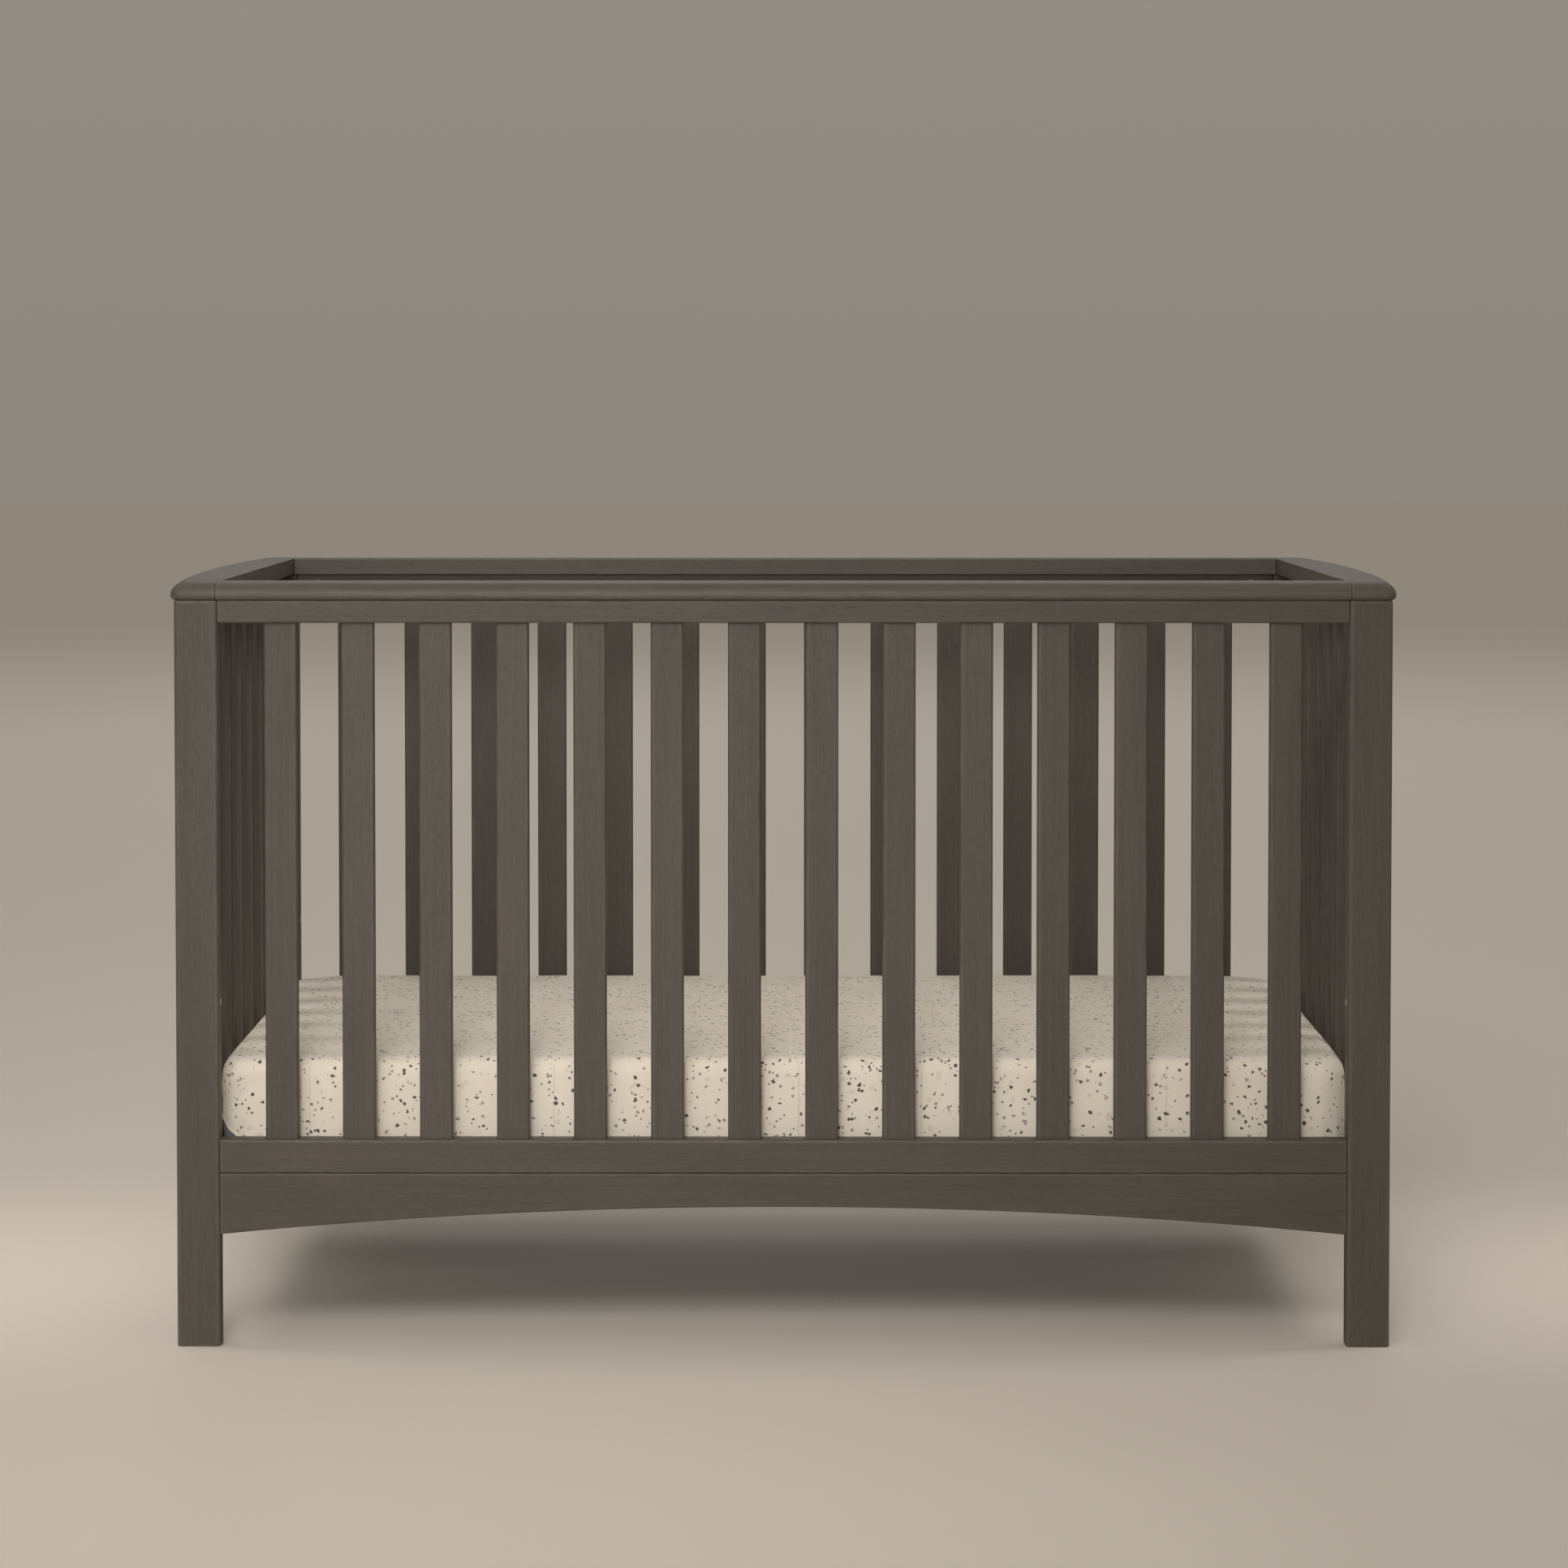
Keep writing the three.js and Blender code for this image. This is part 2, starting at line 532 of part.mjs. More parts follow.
function fittedSheet() {
  const halfLength = MATTRESS_LENGTH / 2 - SHEET_HEM_WIDTH;
  const halfWidth = MATTRESS_WIDTH / 2 - SHEET_HEM_WIDTH;
  const z = [MATTRESS_BOTTOM - 1, MATTRESS_BOTTOM + MATTRESS_EDGE];
  const opening = block([-halfLength, halfLength], [-halfWidth, halfWidth], z);
  return pad(0).subtract(pad(SHEET_THICKNESS)).subtract(opening);
}

add("mattress", pad(SHEET_THICKNESS + FIT_GAP), FOAM);
add("fitted_sheet", fittedSheet(), COTTON);

export default crib;
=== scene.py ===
"""The looks of a baby crib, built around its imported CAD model. Metres, +Z up, and the front faces -Y.

Each wooden CAD node is replaced by a board of the same size with rounded arrises and a stained, open-pored
grain that runs along it. The mattress gets a woven cover and a printed fitted sheet, and the fittings get
their sockets, slots, sleeves, wires and welds.
"""

import itertools
import math

import bmesh
import bpy
import numpy as np
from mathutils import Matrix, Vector, noise


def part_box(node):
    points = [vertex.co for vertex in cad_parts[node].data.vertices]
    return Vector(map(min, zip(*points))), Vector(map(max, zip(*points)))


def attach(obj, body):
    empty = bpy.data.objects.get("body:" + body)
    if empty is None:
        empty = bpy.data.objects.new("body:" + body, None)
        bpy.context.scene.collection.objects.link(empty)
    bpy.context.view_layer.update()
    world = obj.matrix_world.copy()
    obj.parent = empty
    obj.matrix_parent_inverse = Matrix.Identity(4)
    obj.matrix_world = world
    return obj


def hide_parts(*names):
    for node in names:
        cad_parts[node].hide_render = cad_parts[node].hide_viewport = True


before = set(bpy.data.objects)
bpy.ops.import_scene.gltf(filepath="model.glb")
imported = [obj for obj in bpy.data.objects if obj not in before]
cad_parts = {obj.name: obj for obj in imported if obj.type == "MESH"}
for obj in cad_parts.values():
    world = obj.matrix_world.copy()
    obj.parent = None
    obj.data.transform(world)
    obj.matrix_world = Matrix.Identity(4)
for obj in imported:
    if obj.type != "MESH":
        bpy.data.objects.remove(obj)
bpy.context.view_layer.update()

MM = 0.001
SIDES = {"left": -1, "right": 1}
FACES = {"front": -1, "back": 1}
PLACES = ("top", "bottom")
FULL_TURN = 2 * math.pi
QUARTER_TURN = math.pi / 2

# ---- Sizes that the CAD boxes don't give ----

SLAT_COUNT = 14
END_SLAT_COUNT = 7
END_SLAT_WIDTH = 38 * MM
SLAT_DEPTH = 12.5 * MM
JOINT_GAP = 0.3 * MM
MORTISE_DEPTH = 10 * MM

POST_ARRIS = 4 * MM
SLAT_ARRIS = 3.4 * MM
SOFT_ARRIS = 2.6 * MM
CRISP_ARRIS = 1.6 * MM
CAP_ARRIS = 0.8 * MM
SMALLEST_RADIUS = 0.2 * MM
WORN_AND_LIT_ANGLE = 0.3  # the bend, in radians, at which an arris gets its full wear and painted highlight

CAP_NOSE = 5.5 * MM  # height of the widest line above the cap's underside
CAP_TOP_ROUND = 18 * MM
CAP_CORNER = 14 * MM
CAP_BOW = 21 * MM
CAP_GUARD = 3 * MM  # from an edge to the points that keep the flat face flat

APRON_RISE = 32 * MM

SUPPORT_BOLT_X = 657 * MM
SUPPORT_BOLT_Z = 192 * MM
SUPPORT_LEVELS = 4
SUPPORT_STEP = 82 * MM
SUPPORT_HOLE_RADIUS = 3.4 * MM
GUARD_HOLE_Z = 398 * MM
GUARD_HOLE_RADIUS = 4 * MM
HOLE_DEPTH = 12 * MM
NUT_RADIUS = 5 * MM
NUT_HOLE_DEPTH = 18 * MM
NUT_FROM_POST = 28 * MM
COUNTERBORE_RADIUS = 8.4 * MM
COUNTERBORE_DEPTH = 2.6 * MM
SHANK_RADIUS = 3 * MM
HEX_SOCKET = 2.5 * MM  # half the width across the flats

BAR_END = 640 * MM
BAR_SIDE = 351.5 * MM
BAR_WIDTH = 20 * MM
BAR_ARRIS = 2.4 * MM
HOOK_START, HOOK_END = 590 * MM, 664 * MM
HOOK_INNER, HOOK_OUTER = 351 * MM, 354 * MM

MATTRESS_CORNER = 38 * MM
MATTRESS_EDGE = 18 * MM
SHEET_HEM = 60 * MM
SHEET_THICKNESS = 0.7 * MM
CREASE_PITCH = 142 * MM
CORNER_PULL = 7 * MM  # how far the elastic draws the top's corners down
CORNER_PULL_REACH = 40 * MM
PUCKER_REACH = 85 * MM
PUCKER_CENTRE = 50 * MM  # the corner's puckers fan out from here, this far in from both faces
TENSION_REACH = 160 * MM
HEM_RADIUS = 1.5 * MM
SLIP = 114 * MM  # how far the hem has slipped at the front left corner, measured along the cloth
SLIP_CENTRE = -20 * MM
SLIP_REACH = 112 * MM

FLOOR_REACH = 40
AIMED_DOWN, AIMED_LEFT = 2.066, 0.17  # the camera's aim, in degrees

# ---- Colours, as sRGB in 0-255 ----

WOOD_DARK = (61, 56, 50)
WOOD_LIGHT = (86, 79, 71)
WOOD_PORE = (42, 38, 34)
WOOD_WORN_AND_HIGHLIGHT = (112, 104, 95)
ZINC_COLOUR = (196, 194, 188)
SHEET_LIGHT = (229, 221, 207)
SHEET_DARK = (223, 214, 199)

# The print's chips: size, share of cells printed, seed, strength of the ink, and its two end colours.
PRINT = [
    (5.6 * MM, 0.04, 5.1, 0.6, (214, 193, 178), (205, 196, 184)),
    (3.6 * MM, 0.026, 2.3, 0.8, (148, 139, 128), (118, 112, 105)),
    (2.2 * MM, 0.018, 8.9, 0.9, (104, 99, 93), (76, 74, 71)),
    (4.0 * MM, 0.043, 0.7, 0.95, (60, 59, 57), (82, 79, 75)),
]

# ---- Small helpers ----


def linear(red, green, blue):
    """An sRGB colour given in 0-255 as the linear RGBA that a shader takes."""
    values = [c / 255 for c in (red, green, blue)]
    return (*[((c + 0.055) / 1.055) ** 2.4 if c > 0.04045 else c / 12.92 for c in values], 1)


def middle(node_name):
    """The centre of a CAD node's box."""
    low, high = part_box(node_name)
    return (low + high) / 2


def reach(node_name):
    """How near a CAD node's box comes to the crib's middle planes, and how far from them it goes."""
    low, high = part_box(node_name)
    pairs = [sorted((abs(a), abs(b))) for a, b in zip(low, high)]
    return Vector([near for near, _ in pairs]), Vector([far for _, far in pairs])


def new_object(name, verts, faces, welded=0.0):
    """A new mesh object with its faces turned outwards. Points nearer together than welded become one."""
    mesh = bpy.data.meshes.new(name)
    mesh.from_pydata([tuple(v) for v in verts], [], faces)
    shell = bmesh.new()
    shell.from_mesh(mesh)
    if welded:
        bmesh.ops.remove_doubles(shell, verts=shell.verts, dist=welded)
    bmesh.ops.recalc_face_normals(shell, faces=shell.faces)
    shell.to_mesh(mesh)
    shell.free()
    piece = bpy.data.objects.new(name, mesh)
    bpy.context.scene.collection.objects.link(piece)
    return piece


def cut(piece, verts, faces):
    """Takes a closed solid, or several that stand apart, out of the piece."""
    cutter = new_object("cutter", verts, faces)
    boolean = piece.modifiers.new("cut", "BOOLEAN")
    boolean.operation = "DIFFERENCE"
    boolean.solver = "EXACT"
    boolean.object = cutter
    bpy.context.view_layer.update()
    graph = bpy.context.evaluated_depsgraph_get()
    mesh = bpy.data.meshes.new_from_object(piece.evaluated_get(graph))
    piece.modifiers.clear()
    old = piece.data
    piece.data = mesh
    bpy.data.meshes.remove(old)
    bpy.data.objects.remove(cutter)


def dress(piece, material, body="frame", stands_for=(), sharp_degrees=40):
    """Gives the piece its material, smooth shading and body."""
    mesh = piece.data
    mesh.materials.clear()
    mesh.materials.append(material)
    mesh.polygons.foreach_set("use_smooth", [True] * len(mesh.polygons))
    mesh.set_sharp_from_angle(angle=math.radians(sharp_degrees))
    weighted = piece.modifiers.new("normals", "WEIGHTED_NORMAL")
    weighted.keep_sharp = True
    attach(piece, body)
    if stands_for:
        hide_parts(*stands_for)
    return piece


def joined(parts):
    """Several (verts, faces) as one."""
    verts, faces = [], []
    for part_verts, part_faces in parts:
        start = len(verts)
        verts.extend(part_verts)
        faces.extend([tuple(start + i for i in face) for face in part_faces])
    return verts, faces


def quads(columns, rows, wrapped):
    """The faces between columns of points that go all the way round. wrapped closes each column too."""
    faces = []
    for c in range(columns):
        here, there = c * rows, (c + 1) % columns * rows
        for r in range(rows if wrapped else rows - 1):
            s = (r + 1) % rows
            faces.append((here + r, there + r, there + s, here + s))
    return faces


def loft(rings, skipped=()):
    """Rings of points, all of one length, skinned into a closed solid. skipped holds the (ring, point) of the
    side faces that are left open."""
    count = len(rings[0])
    verts = [p for ring in rings for p in ring]
    faces = [tuple(range(count)), tuple((len(rings) - 1) * count + i for i in range(count))]
    for r in range(len(rings) - 1):
        for i in range(count):
            if (r, i) in skipped:
                continue
            j = (i + 1) % count
            faces.append((r * count + i, r * count + j, (r + 1) * count + j, (r + 1) * count + i))
    return verts, faces


def along(axis, u, v, w):
    """A point from its place across an axis, u and v, and along it, w."""
    return {"x": (w, u, v), "y": (u, w, v), "z": (u, v, w)}[axis]


def block(low, high):
    """A plain box between two corners."""
    plan = [(low[0], low[1]), (high[0], low[1]), (high[0], high[1]), (low[0], high[1])]
    return loft([[(x, y, z) for x, y in plan] for z in (low[2], high[2])])


def rounded_section(half_u, half_v, radii, guard=2 * MM, extra=None, steps=4):
    """A rectangle with rounded corners, centred on 0. Each corner has a radius, from +u +v anticlockwise,
    and a guard point on each side of it that keeps the flat faces flat. extra = (side, half width) adds two
    points on the face at +v or -v, for a mortise. Returns the points, and where the extra ones start."""
    points, extra_at = [], None
    for corner, (su, sv) in enumerate([(1, 1), (-1, 1), (-1, -1), (1, -1)]):
        radius = radii[corner]
        centre = Vector((su * (half_u - radius), sv * (half_v - radius)))
        start = corner * QUARTER_TURN
        angles = [start + QUARTER_TURN * i / steps for i in range(steps + 1)]
        outward = [Vector((math.cos(a), math.sin(a))) for a in angles]
        curve = [centre + radius * direction for direction in outward]
        before, after = curve[0] - guard * outward[-1], curve[-1] - guard * outward[0]
        points.extend([before, *curve, after])
        if extra and (corner, extra[0]) in ((0, 1), (2, -1)):
            extra_at = len(points)
            side, half_width = extra
            points.extend([Vector((side * u, side * half_v)) for u in (half_width, -half_width)])
    return points, extra_at


def board(low, high, axis, radius, end_round=1.0 * MM, mortises=None):
    """A length of timber between two corners, with its long arrises rounded and its ends eased. radius is
    one number, or four from +u +v anticlockwise. mortises = (side, spans, depth) are slots along the middle
    of the face at +v or -v."""
    index = "xyz".index(axis)
    across = [i for i in range(3) if i != index]
    centre = [(low[i] + high[i]) / 2 for i in range(3)]
    half = [(high[i] - low[i]) / 2 for i in range(3)]
    radii = radius if hasattr(radius, "__len__") else [radius] * 4
    side, spans, depth = mortises or (0, [], 0)
    slot_half = SLAT_DEPTH / 2 + JOINT_GAP
    extra = (side, slot_half) if spans else None

    def ring(w, inset):
        reduced = [max(r - inset, SMALLEST_RADIUS) for r in radii]
        sizes = [half[i] - inset for i in across]
        points, extra_at = rounded_section(*sizes, reduced, extra=extra)
        u0, v0 = centre[across[0]], centre[across[1]]
        return [along(axis, u0 + p.x, v0 + p.y, w) for p in points], extra_at

    ease = [(0, 2.2 * end_round), (0, end_round), (0.3 * end_round, 0.3 * end_round), (end_round, 0)]
    steady = end_round + 3 * MM
    start, end = low[index], high[index]
    places = [(start + w, inset) for w, inset in ease] + [(start + steady, 0)]
    open_from = []
    for a, b in spans:
        open_from.append(len(places))
        places.extend([(a, 0), (b, 0)])
    places += [(end - steady, 0)] + [(end - w, inset) for w, inset in reversed(ease)]
    made = [ring(w, inset) for w, inset in places]
    rings, extra_at = [points for points, _ in made], made[0][1]
    verts, faces = loft(rings, {(r, extra_at) for r in open_from})
    count = len(rings[0])
    for r in open_from:
        mouth = [r * count + extra_at, r * count + extra_at + 1]
        mouth += [(r + 1) * count + extra_at + 1, (r + 1) * count + extra_at]
        floor = len(verts)
        for i in mouth:
            point = list(verts[i])
            point[across[1]] -= side * depth
            verts.append(tuple(point))
        for i in range(4):
            j = (i + 1) % 4
            faces.append((mouth[i], mouth[j], floor + j, floor + i))
        faces.append((floor, floor + 1, floor + 2, floor + 3))
    return verts, faces


def turned(profile, centre, axis, sign=1, sides=32, shape=None):
    """A solid of revolution about an axis through centre. profile lists (radius, distance along the axis),
    and starts and ends off the axis. shape(angle, ring) scales the radius, for a hexagon."""
    rings = []
    for number, (radius, distance) in enumerate(profile):
        ring = []
        for i in range(sides):
            angle = FULL_TURN * i / sides
            r = radius * (shape(angle, number) if shape else 1)
            offset = along(axis, r * math.cos(angle), r * math.sin(angle), sign * distance)
            ring.append(tuple(centre[k] + offset[k] for k in range(3)))
        rings.append(ring)
    return loft(rings)


def hexagon(angle):
    """How far out a regular hexagon lies at an angle, for one whose flats are 1 from its centre."""
    sector = math.pi / 3
    return 1 / math.cos((angle % sector) - sector / 2)


# ---- Materials ----


class Graph:
    """A node tree, with short calls for the nodes that it gets. Most of them return an output socket."""

    def __init__(self, tree):
        self.tree = tree

    def node(self, kind, settings=None, **inputs):
        """A new node. An input is a value or an output socket to link, and is named after its socket, or i
        and the socket's number."""
        made = self.tree.nodes.new("ShaderNode" + kind)
        for key, value in (settings or {}).items():
            setattr(made, key, value)
        for key, value in inputs.items():
            numbered = key[0] == "i" and key[1:].isdigit()
            socket = made.inputs[int(key[1:]) if numbered else key.replace("_", " ")]
            if isinstance(value, bpy.types.NodeSocket):
                self.tree.links.new(value, socket)
            else:
                socket.default_value = value
        return made

    def maths(self, operation, a, b=0.0, clamp=False):
        return self.node("Math", {"operation": operation, "use_clamp": clamp}, i0=a, i1=b).outputs[0]

    def plus(self, a, b):
        return self.maths("ADD", a, b)

    def minus(self, a, b):
        return self.maths("SUBTRACT", a, b)

    def times(self, a, b):
        return self.maths("MULTIPLY", a, b)

    def vector_maths(self, operation, a, **inputs):
        return self.node("VectorMath", {"operation": operation}, i0=a, **inputs).outputs[0]

    def ramp(self, value, low, high, to_low=0.0, to_high=1.0):
        limits = {"From_Min": low, "From_Max": high, "To_Min": to_low, "To_Max": to_high}
        return self.node("MapRange", Value=value, **limits).outputs[0]

    def mix(self, factor, a, b):
        return self.node("Mix", {"data_type": "RGBA"}, i0=factor, i6=a, i7=b).outputs[2]

    def split(self, vector):
        return self.node("SeparateXYZ", Vector=vector).outputs

    def stretch(self, vector, scale, location=(0, 0, 0)):
        return self.node("Mapping", Vector=vector, Scale=scale, Location=location).outputs[0]

    def noise(self, vector, scale=1.0, detail=2.0, roughness=0.5):
        made = self.node("TexNoise", Vector=vector, Scale=scale, Detail=detail, Roughness=roughness)
        return made.outputs["Fac"]


class Material(Graph):
    """A new material, whose keywords set the sockets of its shader."""

    def __init__(self, name, **shader):
        self.made = bpy.data.materials.new(name)
        self.made.use_nodes = True
        super().__init__(self.made.node_tree)
        self.surface = self.tree.nodes["Principled BSDF"]
        self.normal = None
        for socket, value in shader.items():
            self.surface.inputs[socket.replace("_", " ")].default_value = value

    def place(self):
        return self.node("TexCoord").outputs["Object"]

    def attribute(self, name, output="Fac"):
        return self.node("Attribute", {"attribute_name": name}).outputs[output]

    def feed(self, socket, value):
        self.tree.links.new(value, self.surface.inputs[socket])

    def bump(self, height, distance, strength):
        """Bends the normal, on top of the bumps that are already there."""
        made = self.node("Bump", Height=height, Distance=distance, Strength=strength)
        if self.normal is not None:
            self.tree.links.new(self.normal, made.inputs["Normal"])
        self.normal = made.outputs[0]
        self.feed("Normal", self.normal)


def wood_material():
    """Grey-brown stain on ash: growth rings, fine streaks and open pores along the grain, and lighter arrises
    that are partly real wear and partly a painted highlight. The grain attribute holds a point's place along
    the board and across it, in metres."""
    wood = Material("stained_wood", Specular_IOR_Level=0.42)
    grain = wood.attribute("grain", "Vector")
    wander = wood.noise(wood.stretch(grain, (3.5, 26, 26)))
    rings = wood.node(
        "TexWave",
        {"wave_type": "RINGS", "rings_direction": "X", "wave_profile": "SAW"},
        Vector=wood.stretch(grain, (1.6, 62, 62)),
        Scale=0.55,
        Distortion=2.4,
        Detail=2.0,
        Detail_Scale=0.6,
    ).outputs["Fac"]
    streaks = wood.noise(wood.stretch(grain, (9, 620, 620)), 1.0, 3.0, 0.62)
    fibres = wood.noise(wood.stretch(grain, (38, 2100, 2100)), 1.0, 2.0, 0.55)
    pores = wood.noise(wood.stretch(grain, (95, 2300, 2300), (3, 1, 7)), 1.0, 1.0)
    pore_limit = wood.ramp(wood.ramp(rings, 0.25, 0.9), 0, 1, 0.66, 0.57)
    pore = wood.ramp(wood.minus(pores, pore_limit), 0.0, 0.045)

    shade = wood.times(wood.ramp(streaks, 0.32, 0.68), 0.42)
    shade = wood.plus(shade, wood.times(wood.ramp(fibres, 0.3, 0.7), 0.22))
    shade = wood.plus(shade, wood.times(rings, 0.2))
    shade = wood.plus(shade, wood.times(wood.ramp(wander, 0.3, 0.7), 0.22))
    shade = wood.maths("ADD", shade, wood.attribute("tone"), clamp=True)
    stain = wood.mix(shade, linear(*WOOD_DARK), linear(*WOOD_LIGHT))
    stain = wood.mix(wood.times(pore, 0.3), stain, linear(*WOOD_PORE))
    # Lighter arrises: partly real wear, partly a painted highlight on the rounded edges
    rub_and_highlight = wood.ramp(wood.noise(wood.stretch(grain, (22, 160, 160))), 0.35, 0.65, 0.25, 1.0)
    wear_and_highlight = wood.times(wood.times(wood.attribute("edge"), rub_and_highlight), 0.3)
    wood.feed("Base Color", wood.mix(wear_and_highlight, stain, linear(*WOOD_WORN_AND_HIGHLIGHT)))

    rough = wood.plus(wood.ramp(streaks, 0.3, 0.7, 0.50, 0.60), wood.times(pore, 0.2))
    wood.feed("Roughness", wood.minus(rough, wood.times(wear_and_highlight, 0.3)))
    height = wood.minus(wood.times(fibres, 0.35), pore)
    wood.bump(wood.plus(height, wood.times(streaks, 0.4)), 0.12 * MM, 0.5)
    return wood.made


def zinc_material():
    """Plated steel with fine tool marks along Z and a few darker stains."""
    metal = Material("zinc_plate", Metallic=1.0)
    place = metal.place()
    marks = metal.noise(metal.stretch(place, (900, 900, 60)), 1.0, 2.0, 0.6)
    clean = linear(*ZINC_COLOUR)
    stained = (*[0.55 * c for c in clean[:3]], 1)
    stains = metal.ramp(metal.noise(place, 180.0, 3.0), 0.42, 0.75)
    metal.feed("Base Color", metal.mix(stains, clean, stained))
    metal.feed("Roughness", metal.ramp(marks, 0.3, 0.7, 0.26, 0.46))
    metal.bump(marks, 0.05 * MM, 0.4)
    return metal.made


def paint_material():
    """Powder coat: a fine orange peel, slightly uneven gloss, and dust on what faces up."""
    paint = Material("powder_coat", Specular_IOR_Level=0.5)
    place = paint.place()
    patches = paint.noise(place, 14.0, 3.0)
    speck = paint.ramp(paint.noise(place, 2600.0, 1.0), 0.62, 0.7)
    colour = paint.mix(paint.ramp(patches, 0.3, 0.7), linear(66, 66, 66), linear(78, 77, 75))
    colour = paint.mix(paint.times(speck, 0.35), colour, linear(112, 110, 106))
    upward = paint.split(paint.node("NewGeometry").outputs["Normal"])["Z"]
    dust = paint.times(paint.ramp(upward, 0.5, 1.0), paint.ramp(patches, 0.35, 0.8, 0.05, 0.2))
    paint.feed("Base Color", paint.mix(dust, colour, linear(150, 145, 138)))
    paint.feed("Roughness", paint.ramp(patches, 0.3, 0.7, 0.4, 0.52))
    paint.bump(paint.noise(place, 900.0), 0.06 * MM, 0.35)
    return paint.made


def weave_height(cloth, place, pitch):
    """Height of a plain weave with that thread pitch: one set of threads along each axis, added up."""
    scaled = cloth.stretch(place, (1 / pitch, 1 / pitch, 1 / pitch))
    waves = [cloth.maths("SINE", cloth.times(part, FULL_TURN)) for part in cloth.split(scaled)]
    return cloth.plus(cloth.plus(waves[0], waves[1]), waves[2])


def chips(cloth, place, size, share, seed):
    """Where angular chips of about that size lie: a mask, and a random number for each chip. They are the
    cells of a 3-D Voronoi pattern, of which a small share is printed."""
    shifted = cloth.stretch(place, (1, 1, 1), (seed, 2 * seed, 3 * seed))
    push = cloth.node("TexNoise", Vector=shifted, Scale=1.1 / size, Detail=1.0).outputs["Color"]
    centred = cloth.vector_maths("SUBTRACT", push, i1=(0.5, 0.5, 0.5))
    warped = cloth.vector_maths("ADD", shifted, i1=cloth.vector_maths("SCALE", centred, Scale=0.9 * size))
    cells = cloth.node("TexVoronoi", Vector=warped, Scale=1 / size)
    parts = cloth.split(cells.outputs["Color"])
    trimmed = cloth.ramp(cells.outputs["Distance"], 0.56, 0.6, 1, 0)
    return cloth.times(trimmed, cloth.maths("LESS_THAN", parts[0], share)), parts[1]


def sheet_material():
    """Cream cotton printed with charcoal, taupe and pale chips, a fine weave, and packing creases darkened by
    painted shade.
    """
    shader = {"Roughness": 0.86, "Specular_IOR_Level": 0.25, "Sheen_Weight": 0.18, "Sheen_Roughness": 0.5}
    cotton = Material("printed_cotton", **shader)
    place = cotton.place()
    cloudy = cotton.ramp(cotton.noise(place, 9.0), 0.3, 0.7)
    colour = cotton.mix(cloudy, linear(*SHEET_DARK), linear(*SHEET_LIGHT))
    for size, share, seed, strength, first, second in PRINT:
        chip, shade = chips(cotton, place, size, share, seed)
        ink = cotton.mix(shade, linear(*first), linear(*second))
        colour = cotton.mix(cotton.times(chip, strength), colour, ink)
    parts = cotton.split(place)
    on_side = cotton.ramp(cotton.maths("ABSOLUTE", parts["Y"]), 0.34, 0.344)
    turn = cotton.maths("FRACT", cotton.plus(cotton.maths("DIVIDE", parts["X"], CREASE_PITCH), 10.37))
    from_crease = cotton.times(cotton.maths("ABSOLUTE", cotton.minus(turn, 0.5)), CREASE_PITCH)
    crease_and_shade = cotton.times(cotton.ramp(from_crease, 0.3 * MM, 1.1 * MM, 1, 0), on_side)
    # The crease lines are drawn darker: painted shade in the folds
    cotton.feed("Base Color", cotton.mix(cotton.times(crease_and_shade, 0.16), colour, linear(176, 156, 132)))
    cotton.bump(cotton.noise(place, 28.0, 3.0, 0.55), 1.6 * MM, 0.35)
    cotton.bump(crease_and_shade, -0.5 * MM, 0.8)
    cotton.bump(weave_height(cotton, place, 0.55 * MM), 0.04 * MM, 0.25)
    return cotton.made


def woven_material(name, pitch, depth, dark, light, marked, marks, **shader):
    """A plain weave in two colours. marks(cloth, place) says how strongly the third one shows."""
    cloth = Material(name, **shader)
    place = cloth.place()
    weave = weave_height(cloth, place, pitch)
    colour = cloth.mix(cloth.ramp(weave, -2, 2), linear(*dark), linear(*light))
    cloth.feed("Base Color", cloth.mix(marks(cloth, place), colour, linear(*marked)))
    cloth.bump(weave, depth, 0.5)
    return cloth.made


def slubs(cloth, place):
    """Where the cover's yarn is thicker and lighter."""
    return cloth.ramp(cloth.noise(place, 240.0, 3.0), 0.45, 0.75, 0, 0.3)


def stitches(cloth, place):
    """Where the stitches go over the hem."""
    return cloth.ramp(weave_height(cloth, place, 3.1 * MM), 1.2, 1.6, 0, 0.5)


WOOD = wood_material()
ZINC = zinc_material()
PAINT = paint_material()
SHEET = sheet_material()
blue_grey = [(92, 101, 106), (126, 135, 139), (150, 157, 160)]
cream = [(206, 195, 178), (228, 219, 203), (176, 164, 148)]
cover_shader = {"Roughness": 0.8, "Sheen_Weight": 0.15}
hem_shader = {"Roughness": 0.85, "Sheen_Weight": 0.2}
COVER = woven_material("mattress_cover", 1.1 * MM, 0.12 * MM, *blue_grey, slubs, **cover_shader)
HEM = woven_material("hem_binding", 0.8 * MM, 0.1 * MM, *cream, stitches, **hem_shader)

# ---- Wooden pieces ----

board_seeds = itertools.count(1)


def mark(mesh, name, kind, key, values):
    """Gives the mesh's points an attribute for the stain to read."""
    mesh.attributes.new(name, kind, "POINT").data.foreach_set(key, values.astype(np.float32).ravel())


